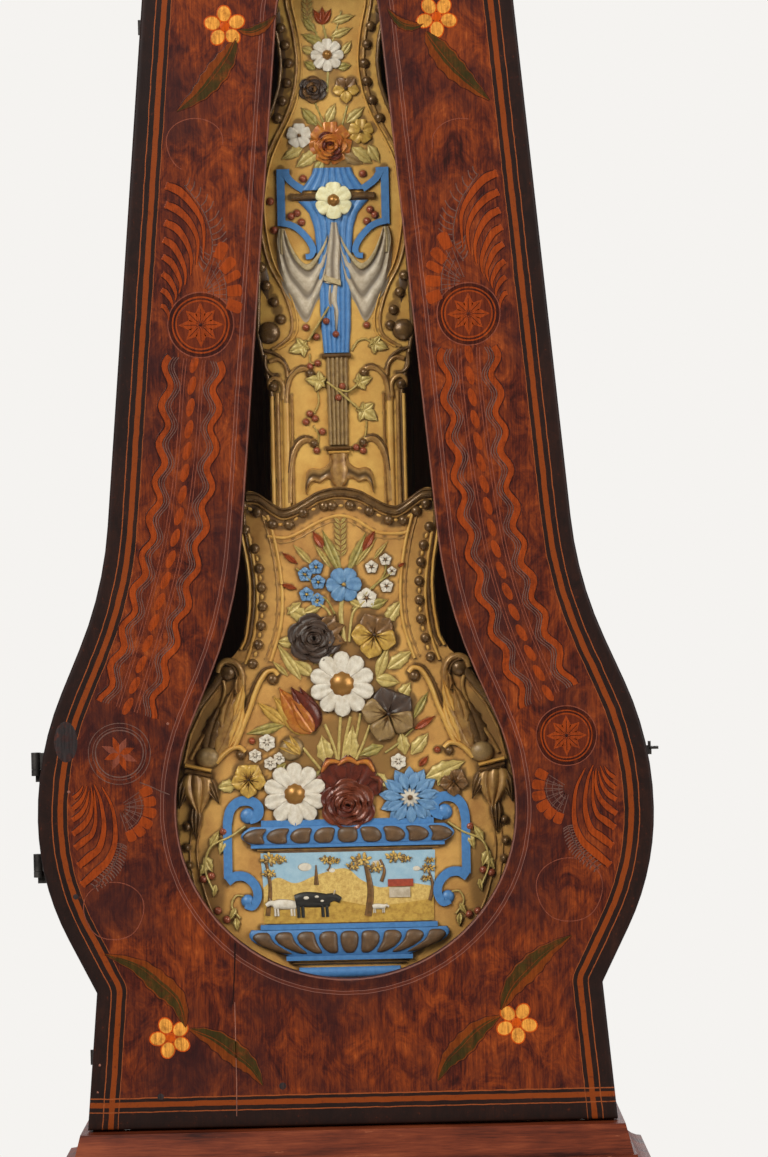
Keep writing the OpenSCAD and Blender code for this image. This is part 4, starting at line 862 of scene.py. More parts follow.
def lozengeTree(finish):
    # a leaf-shaped lozenge every few millimetres along a path
    tree, given = nodeTree("lozengeChain", ("Spacing", "Length", "Width", "Lift", "Tilt"))
    spine = addNode(tree, "GeometryNodeMeshToCurve", None, {"Mesh": given.outputs["Geometry"]})
    points = addNode(tree, "GeometryNodeCurveToPoints", {"mode": "LENGTH"},
        {"Curve": spine, "Length": given.outputs["Spacing"]})
    facing = addNode(tree, "FunctionNodeAlignRotationToVector", {"axis": "Z"}, {"Vector": points.outputs["Tangent"]})
    tilt = addNode(tree, "ShaderNodeCombineXYZ", None, {1: given.outputs["Tilt"]})
    tilted = addNode(tree, "FunctionNodeRotateRotation", {"rotation_space": "GLOBAL"}, {0: facing, 1: tilt})
    ball = addNode(tree, "GeometryNodeMeshUVSphere", None, {"Segments": 4, "Rings": 8, "Radius": 0.5})
    size = addNode(tree, "ShaderNodeCombineXYZ", None, {0: given.outputs["Width"], 1: given.outputs["Lift"],
        2: given.outputs["Length"]})
    placed = addNode(tree, "GeometryNodeInstanceOnPoints", None, {"Points": points.outputs["Points"],
        "Instance": ball, "Rotation": tilted, "Scale": size})
    real = addNode(tree, "GeometryNodeRealizeInstances", None, {"Geometry": placed})
    painted = addNode(tree, "GeometryNodeSetMaterial", None, {"Geometry": real, "Material": finish})
    addNode(tree, "NodeGroupOutput", None, {"Geometry": painted})
    return tree


rosettes = [{"at": (201, 320), "radius": 33, "flip": (1, 1), "shape": "head", "star": True},
    {"at": (469, 315), "radius": 31.5, "flip": (-1, 1), "shape": "head", "star": True},
    {"at": (119.6, 747), "radius": 31, "flip": (1, -1), "shape": "belly", "star": False},
    {"at": (567, 739), "radius": 30, "flip": (-1, -1), "shape": "belly", "star": True}]
for rosette in rosettes:
    x, z = onDoor(*rosette["at"])
    if rosette["star"]:
        compassStar(x, z, rosette["radius"] * doorRead["mmPerPixel"])
    else:
        for reach, width in ((1.0, 0.8), (0.86, 0.7), (0.77, 1.2)):
            ring(x, z, rosette["radius"] * reach * doorRead["mmPerPixel"], width, "grey", "mid", 0.4)
        for angle in range(20, 380, 45):
            # a worn star: little is left of its points
            ornament.leaf(x, z, angle, 15 + angle % 4, 6.4, "line" if angle % 2 else "orange", coat["low"], blunt=0.8,
                section=flatSection)
    feather(x, z, *rosette["flip"], feathers[rosette["shape"]])
for px, py, radius, start, sweep in [(114, 904, 30, 0, 6.28), (570, 893, 33, 0, 6.28), (195, 140, 28, 0, 4.2),
        (462, 147, 29, 1.3, 1.9)]:
    x, z = onDoor(px, py)
    ring(x, z, radius * doorRead["mmPerPixel"], 0.9, "line", "mid", 1.2, start, sweep)

chain = {"spacing": 19.9, "length": 18.0, "width": 7.4, "lift": 0.5, "tilt": 10}
chainTree = lozengeTree(doorPaints["orange"])
for name, side, pixels in (("leftChain", 1, [(195, 354), (192, 382), (188, 440), (181, 500), (169, 562), (150, 630),
        (126, 706)]), ("rightChain", -1, [(469, 349), (471, 382), (478, 440), (487, 500), (499, 562), (520, 630),
        (551, 702)])):
    path = ribbon(pixels)
    spine = bpy.data.meshes.new(name)
    spine.from_pydata([(p.x * mm, doorFront * mm, p.y * mm) for p in path[8:-4]], [(i, i + 1) for i in range(len(path)
        - 13)], [])
    lozenges = fromNodes(name, spine, chainTree, {"Spacing": chain["spacing"] * mm, "Length": chain["length"] * mm,
        "Width": chain["width"] * mm, "Lift": chain["lift"] * mm, "Tilt": side * math.radians(chain["tilt"])})
    outward(lozenges.data)
    lozenges.data.shade_flat()
    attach(lozenges, "trunk_door")

# corner flowers with two leaves each: the flower, its petals' turn, and each leaf's middle line from stalk to tip
corners = [{"flower": (171, 1032), "turn": 40, "leaves": [[(186, 1022), (178, 996), (160, 978), (138, 960),
    (105, 947)], [(190, 1024), (214, 1034), (236, 1050), (252, 1064), (263, 1082)]]},
    {"flower": (517, 1025), "turn": 60, "leaves": [[(502, 1012), (512, 990), (530, 970), (548, 954), (572, 939)],
    [(500, 1018), (480, 1030), (462, 1048), (448, 1062), (438, 1081)]]}, {"flower": (225, 22), "turn": 20,
    "leaves": [[(236, 34), (228, 52), (214, 72), (198, 90), (177, 106)], [(238, 26), (250, 28), (260, 25), (268, 20),
    (276, 12)]]}, {"flower": (437, 17), "turn": 54, "leaves": [[(426, 32), (436, 46), (452, 66), (470, 84),
    (490, 102)], [(424, 24), (414, 26), (404, 24), (396, 18), (388, 8)]]},]
leafMost = 24.0  # mm across a corner leaf
for corner in corners:
    for pixels in corner["leaves"]:
        path = smoothPath([onDoor(*p) for p in pixels], 9)
        wide = min(leafMost, sum((b - a).length for a, b in zip(path[:-1], path[1:])) * 0.27)

        def edged(t):
            return wide * math.sin(math.pi * min(max(t, 0.02), 0.99) ** 0.9) * (1
                - 0.16 * abs(math.sin(7 * math.pi * t)))
        stroke(path, lambda t: edged(t) + 1.4, "dark", "low")
        stroke(path, edged, "leafEdge", "mid")
        half, last = [], len(path) - 1
        for i, p in enumerate(path):
            along = (path[min(i + 1, last)] - path[max(i - 1, 0)]).normalized()
            half.append(p + Vector((-along.y, along.x)) * edged(i / last) * 0.14)
        stroke(half, lambda t: edged(t) * 0.60, "green", "high")
        stroke(path, lambda t: 1.1 * (1 - t), "leafEdge", "top")
    x, z = onDoor(*corner["flower"])
    for k in range(5):
        a = math.radians(corner["turn"] + 72 * k)
        for finish, radius, height in (("heart", 8.4, coat["mid"]), ("petal", 7.5, coat["top"])):
            ornament.bead(x + 12 * math.cos(a), z + 12 * math.sin(a), radius, height, finish, squash=0.84, turn=a)
    ornament.bead(x, z, 4.6, coat["top"] + 0.1, "heart")

# shrinkage cracks painted as dark shadow lines, filled nail holes, a dark patch of filler, pale scratches, and two
# pale dots by the hinge that are painted glints on nail heads
stroke([onDoor(*p) for p in [(235.5, 939), (235, 960), (234, 985), (233, 1000)]], lambda t: 1.5 * (1 - 0.5 * t),
    "crack", "high")
stroke([onDoor(*p) for p in [(235, 998), (236, 1040), (237, 1080), (237, 1112)]], 0.8, "pale", "high")
stroke([onDoor(*p) for p in [(140, 776), (150, 780), (160, 785), (170, 789)]], 0.9, "grey", "top")
for px, py, radius, squash, finish in [(161, 1091, 3.0, 1, "black"), (283, 1083, 3.4, 1, "black"),
        (66, 734, 11.0, 1.75, "black"), (100, 1058, 1.2, 1, "pale"), (98, 1085, 1.0, 1, "pale"),
        (76, 889, 2.6, 1, "black"), (168, 718, 1.3, 1, "pale"), (69, 784, 1.4, 1, "pale")]:
    ornament.bead(*onDoor(px, py), radius, coat["top"], finish, squash=squash, sides=22)
doorOrnament = ornament.build("doorOrnament")
doorOrnament.data.shade_flat()
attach(doorOrnament, "trunk_door")
print("door ornament:", len(ornament.faces), "faces")

# pressed and painted pendulum plates
def pressedPaint(name, colour, shade, edge, roughness, metallic=0.0, mottleMm=7, dents=0.12, edgeTo=0.55):
    # lacquer or gilding over thin pressed brass, mottled where it has worn; where the rise value is low, at the foot
    # of each form and on the ground around it, it turns towards the edge colour as painted shade together with brown
    # antiquing
    material, tree, shader, place = newMaterial(name)
    rise = addNode(tree, "ShaderNodeAttribute", {"attribute_name": "rise"}).outputs["Fac"]
    mottle = noise(tree, place, mottleMm, 6.0, 0.65)
    fine = noise(tree, place, 1.4, 3.0)
    spread = ranged(tree, mottle.outputs["Fac"], 0.38, 0.66)
    body = mixed(tree, spread, colour, shade)
    # painted shade and antiquing: a low rise mixes in the edge colour
    ragged = combine(tree, "MULTIPLY_ADD", mottle.outputs["Fac"], 0.3, rise)
    paintedShadeAndAntiquing = ranged(tree, ragged, 0.14, edgeTo + 0.15, 1.0, 0.0)
    toned = mixed(tree, paintedShadeAndAntiquing, body, edge)
    tree.links.new(toned, shader.inputs["Base Color"])
    shader.inputs["Metallic"].default_value = metallic
    rough = ranged(tree, mottle.outputs["Fac"], toMin=roughness - 0.12, toMax=roughness + 0.14)
    tree.links.new(rough.outputs[0], shader.inputs["Roughness"])
    pitted = addNode(tree, "ShaderNodeBump", None, {"Strength": dents, "Distance": 0.4 * mm,
        "Height": fine.outputs["Fac"]})
    tree.links.new(pitted.outputs[0], shader.inputs["Normal"])
    return material


# each paint's third colour is its painted shade and antiquing colour
platePaints = {
    "gilt": pressedPaint("gold_paint_on_pressed_brass", "#daa858", "#c28a40", "#5e3f20", 0.4, 0.05, 26),
    "ground": pressedPaint("gold_paint_browned_lower_plate", "#d29c54", "#ac763b", "#432a15", 0.42, 0.05, 34),
    "ridge": pressedPaint("gilt_ridge_rubbed", "#b2854a", "#84592f", "#3c2715", 0.32, 0.2, 9),
    "column": pressedPaint("dull_gilt_fluting", "#9c7c4e", "#7b5c38", "#34230f", 0.42, 0.1, 6),
    "bronze": pressedPaint("bronzed_brass_dark", "#7c5a35", "#523820", "#24170d", 0.28, 0.3, 6),
    "cream": pressedPaint("cream_white_paint", "#e6dcb4", "#d8c795", "#6a5836", 0.45, 0.0, 5),
    "boss": pressedPaint("polished_brass_boss", "#b07c3e", "#8f6230", "#4a3018", 0.34, 0.55, 20, 0.03),
    "blue": pressedPaint("sky_blue_enamel_paint", "#5080b6", "#4371a6", "#2b3644", 0.4, 0.0, 5),
    "cornflower": pressedPaint("dulled_blue_petal_paint", "#6d90b4", "#5076a0", "#252c34", 0.45, 0.0, 5),
    "umber": pressedPaint("umber_gadroon_paint", "#6c4e34", "#533a25", "#24180f", 0.42, 0.0, 8),
    "sky": pressedPaint("pale_sky_paint", "#a2bbcb", "#8fadc2", "#5f6468", 0.45, 0.0, 9),
    "white": pressedPaint("chalk_white_paint", "#ddd0c2", "#c6b5a2", "#4a3a2a", 0.55, 0.0, 5),
    "green": pressedPaint("leaf_green_lacquer", "#b19a54", "#82743a", "#33260f", 0.38, 0.1, 4),
    "ivy": pressedPaint("ivy_yellow_lacquer", "#ccb06a", "#a3894a", "#3a2a12", 0.38, 0.1, 4),
    "berry": pressedPaint("berry_red_lacquer", "#a0543a", "#7d3a26", "#3a1a0e", 0.2, 0.1, 4),
    "bud": pressedPaint("bud_red_lacquer", "#a94f2a", "#83371d", "#33160d", 0.28, 0.15, 4),
    "crimson": pressedPaint("crimson_lacquer", "#7e3c26", "#5b2a1a", "#260e0a", 0.28, 0.15, 5),
    "purple": pressedPaint("purple_brown_lacquer", "#4d382c", "#34241e", "#140e0b", 0.42, 0.05, 5),
    "brown": pressedPaint("umber_lacquer", "#855c34", "#5c3f22", "#24170c", 0.36, 0.15, 5),
    "yellow": pressedPaint("pansy_yellow_lacquer", "#cda24c", "#a67a34", "#3e2812", 0.38, 0.1, 4),
    "orange": pressedPaint("orange_rose_lacquer", "#c27a30", "#a04c20", "#43200e", 0.3, 0.15, 5),
    "red": pressedPaint("red_rose_lacquer", "#6e3022", "#4a1e16", "#1c0c09", 0.26, 0.12, 5),
    "drape": pressedPaint("grey_white_drapery_paint", "#c8b5a0", "#ab977f", "#574536", 0.5, 0.0, 6),
    "fringe": pressedPaint("buff_fringe_paint", "#c0a880", "#97805a", "#4c3b24", 0.5, 0.0, 3),
    "pasture": pressedPaint("pasture_gold_paint", "#dcb76a", "#b88e48", "#5e4320", 0.5, 0.0, 3),
    "coat": pressedPaint("black_and_white_coat", "#1f1b19", "#2b2622", "#0f0d0c", 0.4, 0.0, 6),
    "roof": pressedPaint("red_tile_paint", "#a8462e", "#8a3422", "#5a2418", 0.45, 0.0, 4),
}
plates = {"upperFront": -38.0, "lowerFront": -42.0, "thick": 4.0, "bobZ": 731.0, "bobRadius": 170.0,
    "mmPerPixel": 0.951, "topZ": 1494.5, "upperMiddle": 338.7, "lowerMiddle": 337.5, "lowerLean": 0.0055,
    "upperMirror": 339.6, "lowerMirror": 341.5, "bandMiddle": 341}


def up(px, py):
    # a place read on the photograph, on the upper plate, in mm
    return ((px - plates["upperMiddle"]) * plates["mmPerPixel"], plates["topZ"] - plates["mmPerPixel"] * py)


def low(px, py):
    middle = plates["lowerMiddle"] + plates["lowerLean"] * py
    return ((px - middle) * plates["mmPerPixel"], plates["topZ"] - plates["mmPerPixel"] * py)


def pathOf(place, *pixels, steps=6):
    return smoothPath([place(*p) for p in pixels], steps)


def addGround(relief, rows, finish, thick, crestRows, shades=(), fade=3.2):
    # front grid, edge and back of a plate; painted shade with brown antiquing darkens it beside every form that
    # stands on it, inside the shades ellipses, and on its edge and back
    grid = np.array(rows)
    flat = grid.reshape(-1, 3)
    light = np.ones(len(flat))
    # painted shade: soft dark ellipses, as listed in shades
    for x, z, wide, tall in shades:
        away = np.hypot((flat[:, 0] - x) / wide, (flat[:, 1] - z) / tall)
        light = np.minimum(light, np.clip(0.12 + (away - 0.5) * 1.7, 0.12, 1))
    # painted shade: a narrow dark ring round each small form, fading out over fade mm
    for x, z, radius in relief.marks:
        if radius > 20:
            continue
        near = np.hypot(flat[:, 0] - x, flat[:, 1] - z) - radius
        light = np.minimum(light, np.clip((near + 0.2) / fade, 0, 1))
    count, width = grid.shape[0], grid.shape[1]
    first = len(relief.points)
    for (x, z, height), lit in zip(flat.tolist(), light.tolist()):
        relief.points.append((x * mm, (relief.front - height) * mm, z * mm))
        relief.shadeAndAntiquingLevels.append(0.12 + 0.88 * lit)
    behind = []  # back points of each row: its two ends, or all of them under the crest
    for r, row in enumerate(rows):
        kept = row if r >= count - crestRows else (row[0], row[-1])
        behind.append(list(range(len(relief.points), len(relief.points) + len(kept))))
        for x, z, height in kept:
            relief.points.append((x * mm, (relief.front + thick) * mm, z * mm))
            relief.shadeAndAntiquingLevels.append(0.2)
    faces = []
    for r in range(count - 1):
        a, b, low, high = first + r * width, first + (r + 1) * width, behind[r], behind[r + 1]
        faces += [(a + c, a + c + 1, b + c + 1, b + c) for c in range(width - 1)]
        faces += [(a, b, high[0], low[0]), (a + width - 1, low[-1], high[-1], b + width - 1)]
        if len(low) == len(high):
            faces += [(low[c], low[c + 1], high[c + 1], high[c]) for c in range(len(low) - 1)]
        else:
            faces.append(tuple(low) + tuple(reversed(high)))
    faces.append(tuple(first + c for c in range(width)) + (behind[0][-1], behind[0][0]))
    top = first + (count - 1) * width
    faces += [(top + c, top + c + 1, behind[-1][c + 1], behind[-1][c]) for c in range(width - 1)]
    relief.faces += faces
    relief.slots += [relief.order.index(finish)] * len(faces)


# upper plate
upperHalf = [(0, 251), (62, 251), (65, 282), (64, 389), (70, 419), (76, 449), (75, 481), (73, 519), (76, 551),
    (75, 590), (71, 624), (63, 652), (56, 668), (50.5, 686), (48.5, 706), (50, 724), (54, 744), (55, 765), (50, 785),
    (40, 804), (22, 825), (8, 841), (0, 859)]
upper = Relief(plates["upperFront"], platePaints)


def daisy(relief, x, z, radius, petals, heart, finish="white", height=4.2, base=2.2, tip=0.12, heartFinish="boss",
        start=0.3, turn=90):
    # broad petals with rounded shoulders, pointed or blunt at the tip, round a large heart
    for k in range(petals):
        angle = turn + 360 * k / petals
        a = math.radians(angle)
        path = [Vector((x + r * math.cos(a), z + r * math.sin(a))) for r in np.linspace(radius * start, radius, 14)]
        most = 2 * math.pi * radius * 0.86 / petals
        shape = [0.5, 0.82, 0.97, 0.9 + 0.08 * tip, 0.62 + 0.4 * tip, tip]
        relief.band(path, lambda t: most * float(np.interp(t, (0, 0.3, 0.58, 0.78, 0.92, 1), shape)),
            lambda t: height * (0.5 + 0.5 * math.sin(math.pi * min(1, 0.25 + t * 0.7))), finish, base + 0.5 * (k % 2),
            pansySection)
    relief.bead(x, z, heart, height + 4.2, heartFinish, base, sides=28)


def upperWidth(height):
    side = upperHalf[1:]
    return float(np.interp(height, [p[1] for p in side], [p[0] for p in side]))


def edgePath(start, end, inset, side, step=6):
    return smoothPath([(side * (upperWidth(h) - inset), plates["bobZ"] + h) for h in np.arange(start, end, step)], 2)


for side in (-1, 1):
    upper.band(edgePath(262, 812, 2.4, side), 4.4, 2.6, "bronze")
    for shift, width, finish in ((0, 3.4, "ridge"), (5.4, 2.4, "gilt")):
        contour = [(296, -28), (297, 0), (303, 30), (306, 60), (302, 90), (293, 115), (281, 138), (272, 160),
            (266.5, 190), (265.5, 211), (268, 236), (274.4, 262), (287, 287), (295, 313), (293.6, 332), (282, 342.4),
            (275, 346)]
        upper.band(smoothPath([up((px + shift) if side < 0 else 2 * plates["upperMirror"] - px - shift, py)
            for px, py in contour], 5), width, 2.6, finish)
beadsUpper = [up(x, y) for x, y in [(285, 7), (291, 25), (295, 42), (298, 60), (296, 80), (291, 98), (286, 115),
    (381, 25), (377, 43), (374, 62), (376, 80), (381, 99), (388, 117), (391, 8), (266, 264), (270.6, 282),
    (278.3, 299), (284.6, 316), (409, 275), (404, 291.4), (397.5, 309), (394, 324.5)]]
crestHeads = [(-38, 792), (-30, 812), (-16, 826), (0, 838), (16, 826), (30, 812), (38, 792)]
# flat umber strips under the bead rows: painted shade round the beads
for row in (beadsUpper[:7], beadsUpper[7:14], beadsUpper[14:18], beadsUpper[18:]):
    upper.band(smoothPath(sorted(row, key=lambda p: p[1]), 5), 10.5, 0.3, "umber", section=flatSection)
beadsUpper += [(x, plates["bobZ"] + h - 9) for x, h in crestHeads]

# stems, leaves and flowers above the urn
for pixels, width in [([(333, 20), (337, 40), (338, 60), (336, 90)], 3.0), ([(318, 14), (326, 30), (334, 48)], 2.2),
        ([(352, 10), (346, 30), (340, 48)], 2.2), ([(318, 110), (330, 125), (338, 150)], 2.4),
        ([(356, 104), (350, 125), (342, 150)], 2.4), ([(322, 96), (330, 116), (336, 132)], 2.2)]:
    upper.band(pathOf(up, *pixels), width, 1.8, "green")
for px, py, angle, length, width, teeth, finish in [
        (334, 42, 155, 21, 9, 3, "green"), (325, 29, 130, 15, 8, 3, "green"), (343, 20, 15, 20, 8, 3, "ivy"),
        (341, 35, 22, 20, 8, 3, "ivy"), (352, 53, 55, 14, 7, 0, "ivy"), (323, 50, 160, 11, 7, 0, "ivy"),
        (325, 67, 145, 12, 7, 0, "green"), (347, 66, 10, 12, 7, 0, "green"), (325, 123, 130, 20, 10, 3, "green"),
        (335, 121, 65, 18, 9, 3, "ivy"), (355, 121, 40, 20, 10, 3, "ivy"), (310, 145, 208, 20, 10, 3, "ivy"),
        (326, 149, 214, 24, 12, 4, "ivy"), (360, 146, -40, 22, 12, 4, "ivy"), (376, 144, -58, 18, 10, 3, "ivy"),
        (350, 152, -28, 20, 11, 3, "column"), (330, 158, 240, 14, 8, 0, "green")]:
    x, z = up(px, py)
    upper.leaf(x, z, angle, length * 1.12, width * 1.3, finish, 2.6, 0.4, teeth=teeth)
x, z = up(318, 10)
for k in range(6):
    for s in (-1, 1):
        upper.leaf(x + s * 0.6, z + 14 - 5 * k, 90 - s * 38, 8, 3.4, "ivy", 2.0)
x, z = up(333, 14)
for angle in (60, 90, 120):
    upper.leaf(x, z - 8, angle, 17, 8, "bud", 3.6, 0.6)
x, z = up(337, 53)
daisy(upper, x, z, 15.5, 8, 5.0, "white", 3.2, 1.0, 0.5, start=0.25)
x, z = up(322, 87)
upper.rose(x, z, 13, "purple", "brown", 5.5, 0.5, 4)
x, z = up(355, 87)
for angle, finish, size in ((130, "brown", 13), (50, "brown", 13), (190, "yellow", 13), (-10, "yellow", 13),
        (-90, "yellow", 14)):
    upper.leaf(x, z, angle, size, 12, finish, 3.0, 0.6, section=petalSection, blunt=1.3)
upper.bead(x, z, 2, 3.4, "purple", 1.2)
x, z = up(307, 133)
daisy(upper, x, z, 11.5, 5, 2.0, "white", 2.8, 0.6, 0.7, "brown", 0.12)
x, z = up(369, 130)
daisy(upper, x, z, 11.5, 5, 1.6, "yellow", 2.8, 0.6, 0.7, "brown", 0.12)
x, z = up(338, 141)
daisy(upper, x, z, 20, 7, 8, "orange", 2.8, 0.5, 0.85, "red", 0.3)
upper.rose(x, z - 3, 14.5, "orange", "red", 6.4, 1.8, 7)

# urn, its flat angular handles, and the bar with a flower
def flutes(count, depth):
    # section of a form with rounded reeds side by side
    samples = np.linspace(-1, 1, count * 7 + 1)
    return [(-1, 0)] + [(u * 0.985, 1 - depth * (1 - abs(math.sin(math.pi * count * (u + 1) / 2))) - 0.12 * u * u)
        for u in samples] + [(1, 0)]


fluted = flutes(6, 0.34)


def both(place, pixels, side, middle=plates["upperMirror"], steps=6):
    # a curve read on the left half, or its mirror on the right half
    return smoothPath([place(px if side < 0 else 2 * middle - px, py) for px, py in pixels], steps)


def upright(relief, place, middle, widths, height, finish, section=fluted, base=0.0):
    # a turned or fluted form: (pixel row, pixels across) from the top down
    rowsRead, across = [w[0] for w in widths], [w[1] for w in widths]
    path = [place(middle, py) for py in np.linspace(rowsRead[0], rowsRead[-1], 26)]
    relief.band(path, lambda t: plates["mmPerPixel"] * float(np.interp(rowsRead[0] + t * (rowsRead[-1] - rowsRead[0]),
        rowsRead, across)), height, finish, base, section)


def cloth(relief, upperEdge, lowerEdge, folds, finish, height=2.6, depth=1.3, base=0.6, phase=0.0):
    # hanging cloth between two edges, its folds running from end to end; the rise follows the folds, so their troughs
    # get painted shade
    count, last = 14, min(len(upperEdge), len(lowerEdge)) - 1
    rings = []
    for i in range(last + 1):
        u, low = upperEdge[i], lowerEdge[i]
        ring = [(u[0], u[1], sink, 0.0)]
        for k in range(count + 1):
            s = k / count
            # painted shade: the wave sets the rise, darkening the fold troughs
            wave = math.sin(2 * math.pi * (folds * s + phase) + 0.7 * math.sin(math.pi * i / last))
            edge = min(1.0, 6 * min(s, 1 - s) + 0.35)
            ring.append((u[0] + (low[0] - u[0]) * s, u[1] + (low[1] - u[1]) * s,
                base + (height + depth * wave) * edge, 0.5 + 0.42 * wave * edge))
        ring.append((low[0], low[1], sink, 0.0))
        rings.append(ring)
    relief.loft(rings, finish)


upright(upper, up, 339.6, [(166, 38), (172, 42), (180, 53), (188, 66)], 4.8, "blue", flutes(7, 0.4))
upright(upper, up, 339.6, [(199, 71), (205, 59), (211, 49), (226, 39), (242, 36), (262, 33), (300, 31), (322, 30),
    (351, 25.5)], 4.6, "blue")
upper.band([up(298, 194.5), up(339.6, 194.5), up(381, 194.5)], 7.4, 7.0, "bronze")
for side in (-1, 1):
    for index, (pixels, width) in enumerate((([(287.5, 166.4), (287.5, 195), (287.5, 223)], 7.8),
            ([(283.6, 169.2), (290, 169.2), (296.4, 169.2)], 5.6), ([(291, 169), (298, 179), (310, 187.6)], 7.0),
            ([(287, 220), (296, 222), (304, 226.5), (313, 236), (318, 245), (318.6, 251)], 6.4),
            ([(319, 247), (316.5, 253.4), (311, 254.4)], 5.4))):
        upper.band(both(up, pixels, side), width, 3.4 + 0.12 * index, "blue", section=flatSection)
x, z = up(340, 199)
daisy(upper, x, z, 17.5, 6, 6.4, "cream", 3.2, 5.4, 0.45, start=0.2)
for px, py in [(310, 176), (370, 172.5), (297, 213.4), (303, 210.4), (307.4, 219.6), (376.5, 208.5), (381, 213.8),
        (373, 220), (276.6, 198), (280, 227)]:
    upper.bead(*up(px, py), 3.9, 4.4, "berry")

# drapery hung from the handles and from the flower
for side in (-1, 1):
    hung = both(up, [(290.4, 226), (294.8, 239), (301.2, 252), (309.5, 261.4), (316.5, 260), (326.7, 246.7),
        (333, 234), (337.4, 222)], side)
    foot = both(up, [(284.4, 226), (282.0, 252), (287.5, 284), (297.4, 301), (309.5, 320), (319, 303), (328.5, 282),
        (338.6, 226)], side)
    cloth(upper, hung, foot, 2.6, "drape", 2.8, 1.5, 1.0, 0.2)
    hem = [u + (low - u) * 0.13 for u, low in zip(hung, foot)]
    cloth(upper, [p + Vector((0, 0.5)) for p in hung[4:-6]], hem[4:-6], 0.5, "fringe", 3.4, 0.5, 1.6)
    cloth(upper, both(up, [(290, 226), (288, 240), (288.5, 252)], side, steps=8), both(up, [(284.4, 226), (282, 238),
        (283.5, 250)], side, steps=8), 1.0, "fringe", 3.6, 0.6, 1.8)
cloth(upper, pathOf(up, (337, 221), (333.5, 243), (331, 262), (329.4, 281), steps=8),
      pathOf(up, (342.8, 221), (346, 243), (344.8, 264), (345.4, 284), steps=8), 1.2, "drape", 5.2, 0.9, 1.6, 0.1)
cloth(upper, [up(328.8, 272.5), up(336, 275.2), up(344.8, 278)], [up(328.2, 279.6), up(336, 282.4), up(345.6, 285)],
    0.5, "fringe", 6.4, 0.3, 1.8)
cloth(upper, pathOf(up, (333.6, 283), (331.8, 300), (337, 309), (339.4, 329), steps=8),
      pathOf(up, (344.8, 284), (344, 298), (344.4, 311), (340.6, 329), steps=8), 1.6, "drape", 3.6, 1.0, 1.4, 0.3)
upper.band([up(333, 305), up(322, 322), up(311.4, 338.6)], 2.2, 4.0, "ivy", 2.6)

# fluted column on its spreading foot, with ivy over it
upper.band([up(325, 354), up(339.5, 354), up(354, 354)], 5.0, 7.2, "bronze")
upright(upper, up, 339.7, [(356, 22.5), (400, 21), (443, 19.6)], 5.4, "column", flutes(5, 0.4))
upper.band([up(326.6, 446.4), up(339.5, 446.4), up(352.4, 446.4)], 4.2, 7.0, "bronze")
upper.band([up(329.3, 450.6), up(339.5, 450.6), up(350, 450.6)], 3.6, 6.4, "gilt")
upright(upper, up, 339.5, [(452, 19), (460, 18), (467, 21), (474, 20), (480, 17), (485, 8)], 6.0, "ridge",
    roundSection)
for side in (-1, 1):
    cloth(upper, both(up, [(332, 453), (329, 461), (321, 466.4), (313, 465.6), (307, 470), (305, 482)], side, 339.5),
        both(up, [(333, 479), (327, 477), (320, 481), (313, 479.6), (309, 484), (305.6, 492)], side, 339.5), 1.0,
        "ridge", 3.4, 1.0, 0.6, 0.1)
    # pilasters with scrolled heads, and the hooks beside the column
    for px, width, top, finish in ((273.6, 4.6, 393, "gilt"), (279.4, 4.4, 390, "ridge"), (287.4, 7.0, 392, "gilt"),
            (293.6, 2.8, 392, "ridge")):
        upper.band(both(up, [(px, top), (px, 440), (px, 508)], side), width, 3.2, finish)
    for pixels, width, finish in (([(287.6, 400), (288.4, 388), (292, 375), (299, 367.6), (307.6, 366), (313, 370)],
            6.6, "ridge"), ([(287.2, 392), (289.6, 378), (296, 369), (304, 363.6), (311, 365)], 3.4, "bronze"),
            ([(289, 500), (290.4, 470), (294, 452), (300, 441), (308, 437), (315, 440)], 6.6, "ridge"),
            ([(289, 470), (292, 449), (298, 438), (305, 434), (313, 435.6)], 3.4, "bronze"),
            ([(284.8, 396), (285.4, 384), (281.6, 377), (275.4, 375), (271, 379.6), (272, 386)], 5.0, "ridge"),
            ([(272, 358), (281, 356.4), (288, 363), (289.8, 374)], 4.4, "ridge"),
            ([(267, 347), (277, 350), (286, 357), (291, 368)], 3.6, "bronze"), ([(268, 352), (268, 364), (273, 371),
            (281, 372)], 4.4, "bronze")):
        upper.band(both(up, pixels, side), width, 3.6, finish)
    for px, py, radius, finish in ((312.6, 371, 4.6, "bronze"), (315, 441, 4.4, "bronze"),
            (275.4, 383.6, 5.2, "bronze"), (272.4, 329.4, 10.6, "bronze")):
        upper.bead(*up(px if side < 0 else 2 * plates["upperMirror"] - px, py), radius, 5.6, finish, 0.6)
for pixels, width in [([(329, 380), (339, 388), (350, 398), (361, 408)], 2.4), ([(339, 387), (350, 390), (359, 384)],
        2.2), ([(320, 389), (320.5, 401), (316, 411)], 1.6), ([(368, 420), (367, 432), (364, 440)], 1.6),
        ([(315, 424), (320, 434), (317, 446)], 1.4), ([(355, 349), (361, 340), (369, 338), (375, 342)], 2.0),
        ([(313, 352), (313, 360), (317, 362)], 1.4)]:
    upper.band(pathOf(up, *pixels), width, 2.4, "ivy", 4.4 if pixels[0][0] in (329, 339) else 0.6)
for px, py, angle, size in [(306, 344, 200, 18), (378, 343, -20, 17), (322.5, 379.5, 170, 18), (362, 381, 20, 16),
        (366, 409, -40, 20)]:
    x, z = up(px, py)
    lift = 3.4 if 320 < px < 360 else 1.4
    for turn, reach in ((0, 1.0), (75, 0.72), (-75, 0.72), (140, 0.5), (-140, 0.5)):
        upper.leaf(x, z, angle + turn, size * 0.8 * reach, size * 0.62 * reach, "ivy", 2.6, lift, blunt=0.7)
